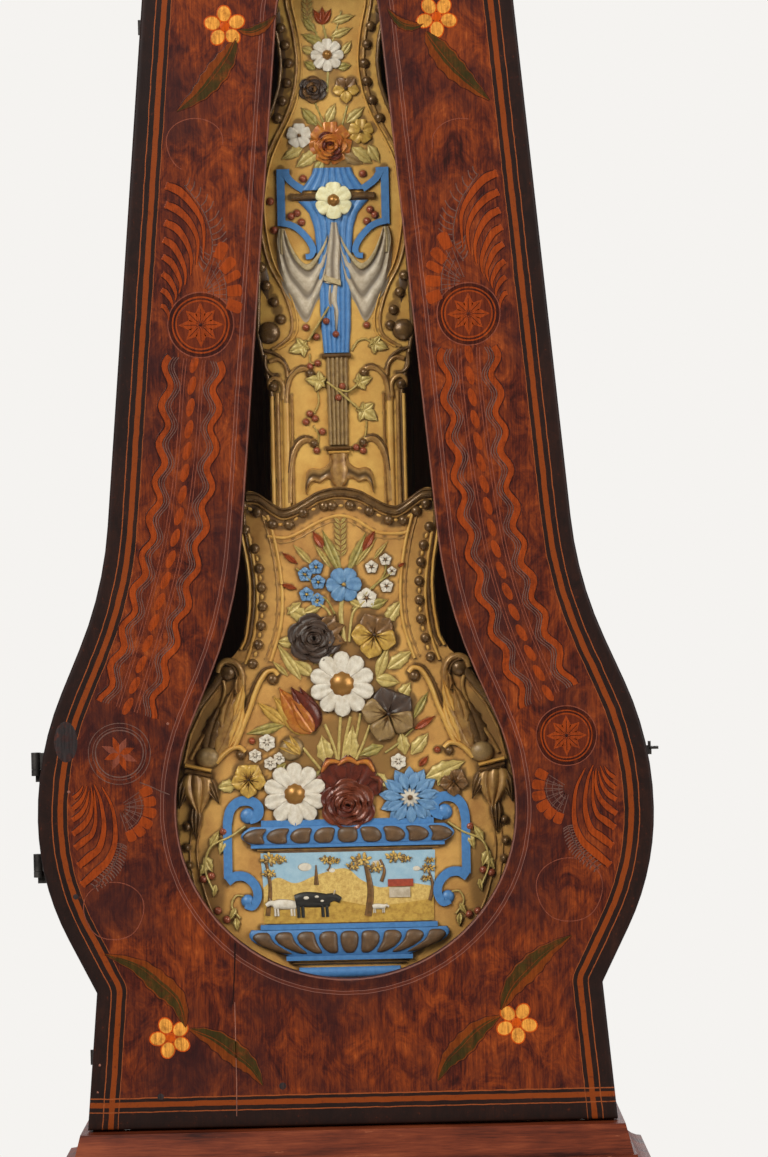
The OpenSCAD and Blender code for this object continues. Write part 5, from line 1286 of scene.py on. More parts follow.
for px, py in [(309.5, 325), (370.4, 324), (339.3, 332.6), (330, 319.4), (319.7, 334.6), (312.7, 364.2), (320.4, 361),
        (344.6, 384.6), (340.4, 396), (311.4, 411.4), (316.5, 416.3), (307.3, 419.4), (323.5, 429.5), (317.5, 448.2),
        (357, 446), (364.8, 442), (364, 449.4)]:
    lift = 4.0 if 328 < px < 352 else 0.8
    upper.bead(*up(px, py), 3.5, 4.6, "berry", lift)

upperGrid = {"columns": 81, "step": 1.8, "foot": 251, "shoulder": 801, "crestRows": 21, "bow": 1.0,
    "rolled": (0.86, 4.2)}
shoulder, spread = upperGrid["shoulder"], np.linspace(-1, 1, upperGrid["columns"])
rollFrom, rollDepth = upperGrid["rolled"]
rows = [[(s * upperWidth(h), plates["bobZ"] + h, upperGrid["bow"] * (1 - s * s)
    - rollDepth * max(0, abs(s) - rollFrom)) for s in spread] for h in np.arange(upperGrid["foot"], shoulder,
    upperGrid["step"])]
for t in np.linspace(0, 1, upperGrid["crestRows"] + 1)[1:]:
    row = []
    for s in spread:
        x = s * upperWidth(shoulder)
        crest = float(np.interp(abs(x), [0, 8, 22, 40.6], [858, 841, 825, 802]))
        row.append((x, plates["bobZ"] + shoulder + (crest - shoulder) * t, upperGrid["bow"] * (1 - s * s)))
    rows.append(row)
# the two shades ellipses paint shade behind the flowers above the urn
addGround(upper, rows, "gilt", plates["thick"], upperGrid["crestRows"], [(*up(338, 136), 40, 30), (*up(337, 60), 22,
    44)])
upperPlate = upper.build("upperPlate")
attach(upperPlate, "pendulum")
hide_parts("upper_pendulum_plate")
print("upper plate:", len(upper.faces), "faces")

# lower plate
lower = Relief(plates["lowerFront"], platePaints)
lowerSide = [(158, 69), (146, 94), (126, 119), (118, 133), (102, 145), (94, 160), (90, 187), (89, 210), (91, 232),
    (95, 254), (97, 269), (96, 293)]
lowerCrest = [(96, 293), (86, 303), (70, 293), (54, 281), (36, 289), (18, 300), (0, 303)]


def lowerWidth(height):
    if height <= 44:
        return math.sqrt(max(plates["bobRadius"] ** 2 - height ** 2, 0))
    side = [(164.2, 44)] + lowerSide
    return float(np.interp(height, [p[1] for p in side], [p[0] for p in side]))


def crestAt(x):
    line = sorted(lowerCrest)
    return float(np.mean(np.interp(abs(x + np.linspace(-7, 7, 9)), [p[0] for p in line], [p[1] for p in line])))


bob = plates["bobZ"]
# the inner umber strip under the crest beads is partly dark ground and partly painted shade round the beads
for inset, width, height, finish in ((1.6, 3.2, 3.2, "bronze"), (6.2, 7.4, 5.0, "bronze"), (11.0, 2.6, 3.4, "ridge"),
        (16.5, 9.0, 0.5, "umber")):
    points = [(x, bob + crestAt(x) - inset) for x in (-88, -79, -70, -62, -54, -45, -36, -27, -18, 0, 18, 27, 36, 45,
        54, 62, 70, 79, 88)]
    lower.band(smoothPath(points, 4), width, height, finish)
lower.band(pathOf(low, (268, 533), (286, 535), (300, 530), (313, 523), (326, 517), (341, 514), (356, 518), (368, 526),
    (380, 532), (402, 533), (410, 530), steps=4), 3.6, 2.6, "gilt")
lower.band(pathOf(low, (270, 538), (286, 540), (301, 535), (314, 528), (327, 522), (341, 519), (355, 523), (367, 531),
    (380, 537), (400, 538), (408, 535), steps=4), 2.2, 1.8, "ridge")
for side in (-1, 1):
    def flank(inset, start, end, step=8):
        return smoothPath([(side * (lowerWidth(h) - inset), bob + h) for h in np.arange(start, end, step)], 2)

    def beside(dx, py):
        return low(plates["bandMiddle"] + side * dx, py)
    lower.band(flank(2.2, 150, 284), 3.6, 3.6, "gilt")
    # the bronze line between the gilt edge and the beads is a painted shadow line
    lower.band(flank(6.2, 150, 284), 3.4, 2.0, "bronze")
    lower.band(flank(5.4, -24, 134, 6), 8.6, 3.8, "bronze")
    lower.band(flank(11.6, 40, 118, 6), 3.0, 3.0, "ridge")
    lower.band(pathOf(beside, (73, 512), (66, 537), (61, 566), (59, 596), (62, 626), (72, 658)), 3.6, 3.0, "gilt")
    lower.band(pathOf(beside, (78, 512), (71, 537), (66, 566), (64, 596), (67, 626), (77, 656)), 2.2, 1.6, "ridge")
    lower.band(pathOf(beside, (92, 530), (87, 560), (84, 596), (88, 632), (97, 660)), 3.4, 3.0, "gilt")
beadsLower = [low(x, y) for x, y in [(244, 502), (258, 509), (273, 521), (290, 522), (304, 510), (325, 504),
    (333, 504), (351, 504), (370, 510), (389, 519), (404, 520), (417, 511), (427, 504), (246, 526), (255, 545),
    (259, 565), (261, 584), (262, 603), (260, 622), (257, 641), (251, 660), (430, 527), (424, 545), (421, 562),
    (419, 581), (419, 600), (420, 619), (424, 638), (429, 657)]]
for (x0, z0), (x1, z1) in zip(beadsLower[:-1], beadsLower[1:]):
    if math.hypot(x1 - x0, z1 - z0) < 30:
        lower.bead((x0 + x1) / 2, (z0 + z1) / 2, 3.0, 2.0, "gilt", squash=0.6, turn=math.atan2(z1 - z0, x1 - x0))

# shoulders: scrolls, acanthus and pods at both sides
for side in (-1, 1):
    def turned(angle):
        return angle if side < 0 else 180 - angle

    def spot(px, py):
        return low(px if side < 0 else 2 * plates["lowerMirror"] - px, py)
    for pixels, width, height, finish in (([(276, 672), (272, 667.6), (265, 668.7), (258, 678), (252.4, 690.5),
            (247.7, 704.3), (241, 720.4), (235, 735), (231, 743)], 5.4, 5.0, "gilt"),
            ([(270, 664), (261, 667), (253, 679), (247.6, 692), (243, 706), (236, 722), (230, 737)], 3.6, 4.0,
            "bronze"), ([(221, 676), (222.6, 686), (218, 702), (206.4, 722.7), (195, 740), (187.6, 754)], 4.4, 3.4,
            "ridge"), ([(216, 668), (219, 660), (227, 656.6), (236, 661), (240.6, 673), (239, 690)], 6.6, 4.6,
            "ridge"), ([(224, 660), (232, 664), (235.6, 675), (233, 690)], 3.4, 5.0, "bronze"),
            ([(242, 748), (236.4, 743.3), (228.2, 744.5), (220.2, 750.2), (213, 758)], 5.2, 5.0, "gilt"),
            ([(196, 819), (192, 846), (196, 874), (205, 904), (219, 926), (234, 944)], 2.6, 2.2, "ridge"),
            ([(189, 815), (185, 846), (189, 878), (199, 910), (214, 934), (232, 954)], 2.0, 1.6, "ridge")):
        lower.band(both(low, pixels, side, plates["lowerMirror"]), width, height, finish)
    for px, py, radius, finish in ((270.7, 675.6, 5.6, "bronze"), (226, 668.7, 7.6, "bronze"),
            (237.4, 750.8, 4.8, "bronze"), (183, 821, 4.6, "bronze"), (182, 842, 4.4, "bronze"),
            (184, 860, 4.2, "bronze")):
        lower.bead(*spot(px, py), radius, 5.6, finish, 1.0)
    for px, py, angle, length, width, bend, teeth, finish, lift in ((203, 752, 80, 60, 20, -16, 5, "bronze", 0.4),
            (213, 752, 62, 84, 25, 14, 6, "ridge", 1.0), (226, 742, 62, 48, 15, 16, 4, "gilt", 1.8),
            (220, 726, 84, 44, 16, -20, 4, "ridge", 2.2), (232, 712, 64, 34, 13, 18, 3, "gilt", 2.6),
            (236, 690, 96, 20, 10, -20, 3, "ridge", 2.6)):
        lower.leaf(*spot(px, py), turned(angle), length * plates["mmPerPixel"], width * plates["mmPerPixel"], finish,
            4.4, lift, bend=-side * bend, teeth=teeth, blunt=0.7)
    lower.bead(*spot(204.5, 753), 11.6, 6.8, "column", 1.4, squash=0.9)
    for px, py, angle, length, width, finish, lift in ((192, 765, -86, 46, 33, "ridge", 2.0),
            (203, 772, -66, 30, 14, "bronze", 1.2), (183, 772, -104, 32, 13, "bronze", 1.2),
            (192, 800, -92, 34, 13, "bronze", 0.8)):
        lower.leaf(*spot(px, py), turned(angle), length * plates["mmPerPixel"], width * plates["mmPerPixel"], finish,
            6.6, lift, section=reedSection, blunt=0.6)
    for py, width, finish in ((763, 4.4, "gilt"), (768.4, 5.6, "bronze")):
        lower.band(both(low, [(182, py - 3), (195, py), (208, py + 3)], side, plates["lowerMirror"]), width, 9.0,
            finish)

# bouquet: blades, stems and buds
for pixels, width, finish in [
        ([(343, 640), (340, 612), (343, 590)], 5, "ivy"), ([(338, 640), (328, 610), (312, 598)], 3, "ivy"),
        ([(348, 640), (352, 612), (364, 600)], 3, "ivy"), ([(334, 612), (324, 596), (306, 592)], 2.4, "green"),
        ([(352, 608), (370, 588), (392, 572)], 2.4, "green"), ([(372, 588), (384, 574), (386, 562)], 2, "green"),
        ([(340, 570), (330, 556), (322, 541)], 2.6, "green"), ([(347, 570), (358, 554), (367, 543)], 2.6, "green"),
        ([(322, 722), (331, 745), (336, 770)], 3.2, "ivy"), ([(338, 715), (336, 740), (335, 770)], 3.4, "ivy"),
        ([(348, 715), (342, 740), (338, 770)], 3.4, "ivy"), ([(358, 712), (353, 735), (342, 768)], 3.0, "ivy"),
        ([(368, 722), (360, 742), (350, 764)], 3.0, "ivy"), ([(410, 728), (396, 742), (382, 752)], 2.6, "green"),
        ([(300, 745), (310, 758), (320, 770)], 3.0, "ivy"), ([(296, 566), (304, 572), (312, 580)], 2.0, "green")]:
    lower.band(pathOf(low, *pixels), width, 2.6, finish, 0.4)
for px, py, angle, length, width, teeth, finish in [
        (341, 572, 112, 42, 9, 0, "green"), (348, 570, 64, 38, 8, 0, "green"), (312, 562, 132, 24, 6, 0, "ivy"),
        (331, 566, 124, 26, 5, 0, "ivy"), (356, 564, 52, 30, 5, 0, "ivy"), (374, 558, 50, 20, 4, 0, "ivy"),
        (306, 616, 150, 20, 14, 3, "ivy"), (294, 640, 175, 16, 10, 0, "ivy"), (299, 677, 122, 38, 9, 0, "ivy"),
        (286, 673, 135, 19, 5, 0, "ivy"), (311, 673, 140, 21, 11, 0, "ivy"), (283, 722, 140, 32, 10, 0, "yellow"),
        (281, 722, 192, 34, 9, 0, "green"), (385, 622, 55, 24, 13, 4, "ivy"), (386, 668, 35, 27, 14, 3, "ivy"),
        (374, 678, -10, 21, 12, 0, "ivy"), (375, 677, 70, 30, 10, 0, "ivy"), (398, 697, 55, 16, 12, 3, "ivy"),
        (411, 718, 60, 27, 7, 0, "green"), (346, 764, 84, 36, 15, 4, "ivy"), (324, 762, 100, 26, 16, 3, "ivy"),
        (380, 745, 200, 24, 11, 3, "green"), (408, 754, 50, 24, 13, 3, "ivy"), (402, 754, 100, 21, 12, 3, "ivy"),
        (422, 778, 22, 38, 17, 4, "ivy"), (434, 786, 60, 20, 10, 3, "ivy"), (233, 781, 185, 18, 13, 3, "ivy"),
        (368, 606, 20, 18, 9, 0, "green"), (330, 652, 210, 18, 9, 0, "green"), (320, 604, 200, 18, 8, 0, "ivy"),
        (282, 760, 230, 16, 9, 3, "green"), (318, 768, 240, 18, 10, 0, "green"), (372, 772, -50, 18, 11, 3, "ivy"),
        (362, 606, 150, 15, 8, 3, "ivy"), (300, 600, 220, 16, 9, 3, "ivy")]:
    x, z = low(px, py)
    lower.leaf(x, z, angle, length * 1.08, width * 1.2, finish, 3.2, 0.6, teeth=teeth)
for px, py, angle, length, width in [(324, 546, 122, 20, 11), (363, 550, 58, 24, 11), (297, 561, 142, 19, 7),
        (296, 586, 163, 17, 7), (412, 729, 32, 24, 9), (416, 766, 48, 13, 8), (398, 566, 25, 8, 5)]:
    x, z = low(px, py)
    for bend in (-8, 8):
        lower.leaf(x, z, angle + bend, length * plates["mmPerPixel"], width * 0.7, "bud", 4.0, 0.8, bend=-bend * 2)
for k in range(7):
    x, z = low(341, 519 + 5.4 * k)
    for s in (-1, 1):
        lower.leaf(x, z - 3, 90 - s * 42, 9.5, 3.6, "ivy", 2.4, 0.3)
for px, py in [(434, 750), (249, 737)]:
    lower.bead(*low(px, py), 3.4, 4, "bud", 0.8)

# bouquet: flowers
for px, py in [(305, 572), (316, 565), (318, 580), (306, 592), (317, 598)]:
    lower.flower(*low(px, py), 7.2, 5, "cornflower", "yellow", 0.2, 2.6, 1.2, 1.25)
daisy(lower, *low(343.5, 583), 17, 6, 2.2, "cornflower", 3.4, 1.6, 0.1, "yellow", 0.12, 60)
for px, py, radius in [(371.5, 566, 6.4), (385.5, 559, 6), (391.7, 570.6, 4.6), (386.3, 585.4, 6.6), (366, 597, 10)]:
    lower.flower(*low(px, py), radius, 5, "white", "brown", 0.2, 2.6, 1.2, 1.25)
lower.rose(*low(313, 636), 24, "purple", "purple", 8.0, 0.6, 11)
for angle, radius, size in ((50, 12, 10), (20, 13, 9), (-20, 14, 8)):
    a = math.radians(angle)
    cx, cz = low(319, 632)
    lower.leaf(cx + 4 * math.cos(a), cz + 4 * math.sin(a), angle, radius + 8, size + 6, "brown", 4.6, 2.0,
        section=petalSection)


def pansy(relief, x, z, radius, upperFinish, lowerFinish, height=3.6, base=1.0, turn=0.0):
    # two petals behind, two at the sides, a broad one below
    for angle, size, finish, lift in ((124, 1.0, upperFinish, 0.0), (56, 1.0, upperFinish, 0.7),
            (190, 1.0, lowerFinish, 1.6), (-10, 1.0, lowerFinish, 1.6), (-92, 1.04, lowerFinish, 2.6)):
        relief.leaf(x, z, angle + turn, radius * size * 1.04, radius * 1.04, finish, height, base + lift,
            section=pansySection, blunt=1.5)
        a = math.radians(angle + turn)
        if finish == lowerFinish:
            for spread in (-0.35, 0, 0.35):
                tip = (x + radius * 0.62 * math.cos(a + spread), z + radius * 0.62 * math.sin(a + spread))
                relief.band([(x + 2 * math.cos(a), z + 2 * math.sin(a)), tip], lambda t: 1.3 * (1 - 0.7 * t),
                    height * 0.94, "brown", base + lift)
    relief.bead(x, z, radius * 0.11, height + 2.2, "purple", base)


pansy(lower, *low(373, 634), 21, "brown", "yellow", turn=-12)
pansy(lower, *low(386, 713), 25, "purple", "column", 4.4, turn=-20)
pansy(lower, *low(245, 776), 16, "yellow", "yellow", 3.4)
pansy(lower, *low(450, 782), 13, "brown", "brown", 3.0)
daisy(lower, *low(340, 682), 31, 10, 12.6)
daisy(lower, *low(291, 791), 30, 10, 10.8)
lower.flower(*low(406, 797), 29.5, 13, "cornflower", "white", 0.36, 3.4, 1.8, 1.25, heartHeight=1.6)
lower.flower(*low(406, 797), 25, 11, "cornflower", None, 0.36, 3.2, 3.4, 1.2, turn=76)
lower.bead(*low(406, 797), 3, 7.8, "brown", 1.8)
for px, py, radius in [(264, 739, 8.5), (252, 752, 6.5), (267, 760, 6.5), (276, 755, 6), (395, 761, 8)]:
    lower.flower(*low(px, py), radius, 6, "white", "white", 0.25, 2.6, 1.2, 1.3)
for angle, length, width, finish, lift, bend in [(146, 50, 26, "yellow", 0.4, -16), (94, 44, 24, "red", 0.8, 20),
        (132, 52, 30, "orange", 1.8, -10), (106, 47, 27, "red", 2.8, 16), (122, 40, 17, "orange", 4.0, 0)]:
    lower.leaf(*low(310, 729), angle, length, width, finish, 4.6, lift, bend=bend, blunt=0.62)
lower.bead(*low(288.5, 746), 12.6, 5.4, "column", 0.6, squash=0.88, turn=0.6)
for angle in (118, 140, 162):
    lower.leaf(*low(297, 751), angle, 21, 7, "yellow", 2.4, 5.0 - abs(angle - 140) * 0.06, blunt=0.7)
lower.rose(*low(344, 803), 25, "crimson", "red", 9.0, 2.2, 23)
for angle, reach, wide in ((146, 42, 24), (34, 40, 22), (116, 47, 28), (64, 46, 27), (90, 45, 28)):
    # broad petals behind the rose, their rims turned over; the orange on the three in front is partly rim paint and
    # partly a painted highlight
    a = math.radians(angle)
    cx, cz = low(345, 800)
    lower.leaf(cx, cz, angle, reach, wide, "red", 4.4, 0.6 if angle in (146, 34) else 1.4, section=petalSection,
        blunt=1.9)
    rimMiddle = Vector((cx + (reach - 6) * math.cos(a), cz + (reach - 6) * math.sin(a)))
    along = Vector((-math.sin(a), math.cos(a)))
    out = Vector((math.cos(a), math.sin(a)))
    lower.band(smoothPath([rimMiddle - along * wide * 0.36 - out * 4, rimMiddle + out * 1.5,
        rimMiddle + along * wide * 0.36 - out * 4], 6), lambda t: 2 + 3.6 * math.sin(math.pi * t), 3.4,
        "orange" if angle in (116, 90, 64) else "crimson", 3.2 if angle < 140 else 1.0)

# vase: rim, gadroons, painted body and foot
vase = {"middle": 343, "stripY": 820, "bodyTop": 850, "bodyFoot": 918, "footY": 970}


def vaseBar(py, halfWidth, width, height, finish, base=0.0, section=flatSection):
    x, z = low(vase["middle"], py)
    lower.band([(x - halfWidth, z), (x, z), (x + halfWidth, z)], width, height, finish, base, section)


def gadroonBand(topY, footY, halfTop, halfFoot, count, share):
    # a band of lobes between two rims, spread or drawn in towards its foot; its ends are rounded lobes
    x, zTop = low(vase["middle"], topY)
    zFoot = low(vase["middle"], footY)[1]

    def at(along, s):
        bow = 1 - 0.10 * math.sin(math.pi * s)
        return x + along * (halfTop + (halfFoot - halfTop) * s ** 1.5) / bow * 0.94, zTop + (zFoot - zTop) * s
    lower.dome([at(1, s) for s in np.linspace(0, 1, 9)] + [at(-1, s) for s in np.linspace(1, 0, 9)], 2.2, "blue", 3.6,
        0.97)
    for k in range(count):
        middle = (2 * k + 1 - count) / count
        half = share / count
        ring = []
        for i in range(24):
            a = 2 * math.pi * i / 24
            u = math.copysign(abs(math.cos(a)) ** 0.62, math.cos(a))
            v = math.copysign(abs(math.sin(a)) ** 0.62, math.sin(a))
            s = 0.5 - v * 0.42
            ring.append(at(middle + half * u + 0.05 * (s - 0.5) * (-1 if middle < -0.1 else 1 if middle > 0.1 else 0),
                s))
        lower.dome(ring, 3.6, "umber", 5.6, 0.25)


bodyX, bodyTop = low(vase["middle"], vase["bodyTop"])
bodyFoot = low(vase["middle"], vase["bodyFoot"])[1]
vaseBar(vase["stripY"], 82, 6, 4.6, "blue")
gadroonBand(823, 842, 98, 96, 9, 0.86)
vaseBar(842.8, 92, 3.0, 6.4, "blue")
vaseBar(846.5, 86, 2.6, 4.8, "ridge", section=roundSection)
lower.band([(bodyX, bodyFoot - 3), (bodyX, (bodyTop + bodyFoot) / 2), (bodyX, bodyTop + 3)], lambda t: 165 + 7 * t,
    4.6, "umber")
vaseBar(923.5, 84, 5.0, 6.6, "blue")
gadroonBand(926, 953, 99, 60, 9, 0.86)
vaseBar(955, 60, 4.4, 6.6, "blue")
vaseBar(960.5, 54, 3.5, 4.6, "bronze", section=roundSection)
vaseBar(vase["footY"], 48, 11, 4.8, "blue", section=roundSection)


def bodyRise(x):
    return 4.6 * math.sqrt(max(0.0, 1 - ((x - bodyX) / 86) ** 2)) * 0.98


def patchOn(points, finish, lift, steps=5):
    # thin painted form following the body's curve, between an upper and a lower line
    top, foot = (smoothPath([low(*p) for p in line], steps) for line in points)
    count = min(len(top), len(foot))
    rings = []
    for k in range(count):
        a, b = top[k], foot[k]
        rise = bodyRise((a.x + b.x) / 2)
        rings.append([(b.x, b.y, sink, 0.4), (b.x, b.y, rise + lift, 0.9), (a.x, a.y, rise + lift, 0.9),
            (a.x, a.y, sink, 0.4)])
    lower.loft(rings, finish)


patchOn([[(255.5, 849.6), (300, 849.6), (343, 849.6), (390, 849.6), (430, 849.6)],
    [(258, 886), (300, 886), (343, 886), (390, 886), (429, 886)]], "sky", 0.25)
patchOn([[(258, 884), (272, 874), (290, 880), (312, 872), (340, 866), (356, 878), (376, 886), (400, 882), (428, 886)],
    [(258, 920), (280, 920), (300, 920), (320, 920), (345, 920), (360, 920), (380, 920), (404, 920), (428, 920)]],
    "pasture", 0.45)
patchOn([[(258, 898), (290, 904), (330, 898), (370, 904), (428, 898)], [(258, 920), (290, 920), (330, 920),
    (370, 920), (428, 920)]], "yellow", 0.7)
for px, py, w, h in [(300, 864, 7, 4), (327, 868, 4, 2.5), (411, 868, 4, 2.5), (372, 862, 6, 3)]:
    x, z = low(px, py)
    lower.bead(x, z, w, 0.35, "white", bodyRise(x) + 0.25, h / w)


def trunkAndCrown(px, foot, top, width, crowns):
    path = [low(px, foot), low(px + 3, (foot + top) / 2), low(px - 1, top)]
    lower.band(smoothPath(path, 5), lambda t: width * (1.25 - 0.5 * t), 1.2, "brown", bodyRise(path[0][0]) + 0.5)
    for dx, py, radius in crowns:
        x, z = low(px + dx, py)
        for k in range(13):
            a, reach = k * 2.4 + px, radius * 0.95 * math.sqrt((k + 0.5) / 13)
            lower.bead(x + reach * math.cos(a), z + reach * 0.55 * math.sin(a), radius * 0.27, 1.2 + 0.4 * (k % 3),
                ("pasture", "yellow", "column")[k % 3], bodyRise(x) + 0.7, 0.6, a, sides=8)


trunkAndCrown(362, 914, 864, 6, [(-6, 858, 10), (8, 866, 8), (-14, 864, 7)])
trunkAndCrown(376, 880, 858, 3, [(14, 856, 9), (24, 858, 6)])
trunkAndCrown(262, 912, 858, 4, [(4, 856, 10), (2, 870, 7), (14, 856, 6)])
trunkAndCrown(424, 900, 870, 3, [(-2, 868, 7), (-4, 878, 5), (0, 860, 5)])
trunkAndCrown(322, 868, 858, 1.6, [(0, 857, 7), (8, 858, 5)])
x, z = low(311, 880)
lower.band([(x, z - 2), (x, z + 8), (x, z + 17)], lambda t: 5 * (1 - 0.8 * t), 0.9, "brown", bodyRise(x) + 0.5)
x, z = low(394, 888)
for dx, dz, w, h, finish in ((0, -3, 20, 10, "drape"), (1, 6, 24, 7, "roof")):
    lower.band([(x + dx - w / 2, z + dz), (x + dx + w / 2, z + dz)], h, 1.0, finish, bodyRise(x) + 0.5, flatSection)


def grazingBeast(px, py, size, finish, head):
    # body, legs, neck and head of a grazing animal, seen from its side
    x, z = low(px, py)
    low0 = bodyRise(x) + 0.6
    body = [(x - size, z + size * 0.12), (x - size * 0.5, z + size * 0.2), (x + size * 0.3, z + size * 0.16),
        (x + size, z + size * 0.1)]
    lower.band(smoothPath(body, 5), lambda t: size * (0.7 + 0.2 * math.sin(math.pi * t)), 2.4, finish, low0)
    for dx in (-0.85, -0.6, 0.55, 0.8):
        lower.band([(x + dx * size, z), (x + (dx + 0.04) * size, z - size * 0.82)], size * 0.2, 1.4, finish, low0)
    side = 1 if head > 0 else -1
    lower.band(smoothPath([(x + side * size * 0.9, z + size * 0.25), (x + side * size * 1.25, z + size * 0.3),
        (x + side * size * 1.6, z + size * 0.12)], 5), lambda t: size * (0.58 - 0.22 * t), 2.6, finish, low0)
    lower.band([(x + side * size * 1.2, z + size * 0.4), (x + side * size * 1.3, z + size * 0.72)], size * 0.1, 1.8,
        "drape", low0)


grazingBeast(307, 900, 16.5, "coat", 1)
for dx, dz, size in ((-6, 5, 3.0), (4, 6, 2.2), (9, 2, 2.0)):
    lower.bead(*(v + d for v, d in zip(low(307, 900), (dx, dz))), size, 1.2, "white", bodyRise(-34) + 2.4, 0.6)
grazingBeast(279, 903, 11, "white", -1)
grazingBeast(373, 906, 6, "white", 1)

# blue handles and the vines beside them
for side, edge in ((-1, 222), (1, 462)):
    def at(dx, py):
        return low(edge - side * dx, py)
    lower.band(pathOf(at, (23, 815), (31, 812), (32, 803), (24, 797), (12, 798), (4, 806), (1, 819)),
        lambda t: 10.5 - 1.5 * t, 3.8, "blue", section=flatSection)
    lower.band([at(1, 817), at(1, 846), at(1, 874)], 8.6, 3.6, "blue", section=flatSection)
    lower.band(pathOf(at, (0, 877), (8, 872), (19, 873), (28, 882), (30, 893), (25, 902), (18, 900)),
        lambda t: 9.5 - 1.5 * t, 4.0, "blue", section=flatSection)
    lower.bead(*at(22, 812), 8, 4.6, "blue")
    lower.bead(*at(20, 897), 6.6, 4.6, "blue")
    lower.band(pathOf(at, (19, 822), (4, 832), (-16, 842), (-22, 864), (-14, 886)), 2.4, 2.4, "ivy", 2.4)
    lower.band(pathOf(at, (16, 892), (8, 892), (4, 902), (12, 914)), 2.0, 2.2, "ivy", 0.4)
    for dx, py, angle, length, width in [(-16, 841, 120, 17, 10), (-2, 835, -70, 15, 10), (-22, 852, -115, 16, 12),
            (-20, 858, -60, 14, 10), (-12, 880, -80, 12, 7), (8, 904, -60, 13, 7), (8, 914, -95, 12, 8)]:
        x, z = at(dx, py)
        lower.leaf(x, z, angle if side > 0 else 180 - angle, length, width, "ivy", 3.2, 1.4, teeth=3, blunt=0.65)
    for dx, py in [(-3, 827), (-24, 874), (-16, 871), (-1, 915), (-10, 912 if side > 0 else 906)]:
        lower.bead(*at(dx, py), 4.0, 4.0, "berry", 1.0)

lowerGrid = {"columns": 113, "step": 2.8, "foot": [-169.4, -168, -165.5], "from": -162, "shoulder": 269,
    "halfWidth": 97, "crestRows": 14, "bow": 1.4, "fade": 4.6}
shoulder, spread = lowerGrid["shoulder"], np.linspace(-1, 1, lowerGrid["columns"])
rows = []
for h in lowerGrid["foot"] + list(np.arange(lowerGrid["from"], shoulder, lowerGrid["step"])) + [shoulder]:
    half = lowerWidth(h)
    rows.append([(s * half, bob + h, lowerGrid["bow"] * (1 - s * s)) for s in spread])
for t in np.linspace(0, 1, lowerGrid["crestRows"] + 1)[1:]:
    row = []
    for s in spread:
        x = s * (lowerGrid["halfWidth"] - t)
        row.append((x, bob + shoulder + (crestAt(x) - shoulder) * t, lowerGrid["bow"] * (1 - s * s)))
    rows.append(row)
# shades ellipses: painted shade behind the bouquet and the vase, and darker towards the rim at the shoulders and
# lower sides
addGround(lower, rows, "ground", plates["thick"], lowerGrid["crestRows"], [(*low(343, 752), 92, 62), (*low(345, 668),
    62, 84), (*low(343, 880), 112, 74), (*low(203, 730), 30, 74), (*low(481, 730), 30, 74), (*low(206, 880), 22, 66),
    (*low(478, 880), 22, 66)], lowerGrid["fade"])
lowerPlate = lower.build("lowerPlate")
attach(lowerPlate, "pendulum")
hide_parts("lower_pendulum_plate")
print("lower plate:", len(lower.faces), "faces")


# bead borders of both plates: one small dome on each point
def beadTree(beadFinish):
    tree, given = nodeTree("beadBorder", ("Radius", "Height"))
    ball = addNode(tree, "GeometryNodeMeshUVSphere", None, {"Segments": 18, "Rings": 10, "Radius": 1.0})
    place = addNode(tree, "GeometryNodeInputPosition")
    parts = addNode(tree, "ShaderNodeSeparateXYZ", None, {0: place})
    # painted shade: the rise falls from the front of each bead to its back
    paintedShadeByDepth = ranged(tree, parts.outputs["Y"], 0.0, -0.8, 0.0, 1.0)
    toned = addNode(tree, "GeometryNodeStoreNamedAttribute", {"data_type": "FLOAT", "domain": "POINT"},
        {"Geometry": ball.outputs["Mesh"], "Name": "rise", "Value": paintedShadeByDepth})
    size = addNode(tree, "ShaderNodeCombineXYZ", None, {0: given.outputs["Radius"], 1: given.outputs["Height"],
        2: given.outputs["Radius"]})
    placed = addNode(tree, "GeometryNodeInstanceOnPoints", None, {"Points": given.outputs["Geometry"],
        "Instance": toned, "Scale": size})
    real = addNode(tree, "GeometryNodeRealizeInstances", None, {"Geometry": placed})
    smooth = addNode(tree, "GeometryNodeSetShadeSmooth", None, {"Geometry": real})
    painted = addNode(tree, "GeometryNodeSetMaterial", None, {"Geometry": smooth, "Material": beadFinish})
    addNode(tree, "NodeGroupOutput", None, {"Geometry": painted})
    return tree


beadSize = {"radius": 5.0, "height": 4.6}
borderTree = beadTree(platePaints["bronze"])
for name, spots, front, lift in (("upperBeads", beadsUpper, plates["upperFront"], 0.8),
        ("lowerBeads", beadsLower, plates["lowerFront"], 1.8)):
    points = bpy.data.meshes.new(name)
    points.from_pydata([(x * mm, (front - lift) * mm, z * mm) for x, z in spots], [], [])
    beads = fromNodes(name, points, borderTree, {"Radius": beadSize["radius"] * mm,
        "Height": beadSize["height"] * mm})
    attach(beads, "pendulum")
print("bead borders:", len(beadsUpper) + len(beadsLower), "beads")

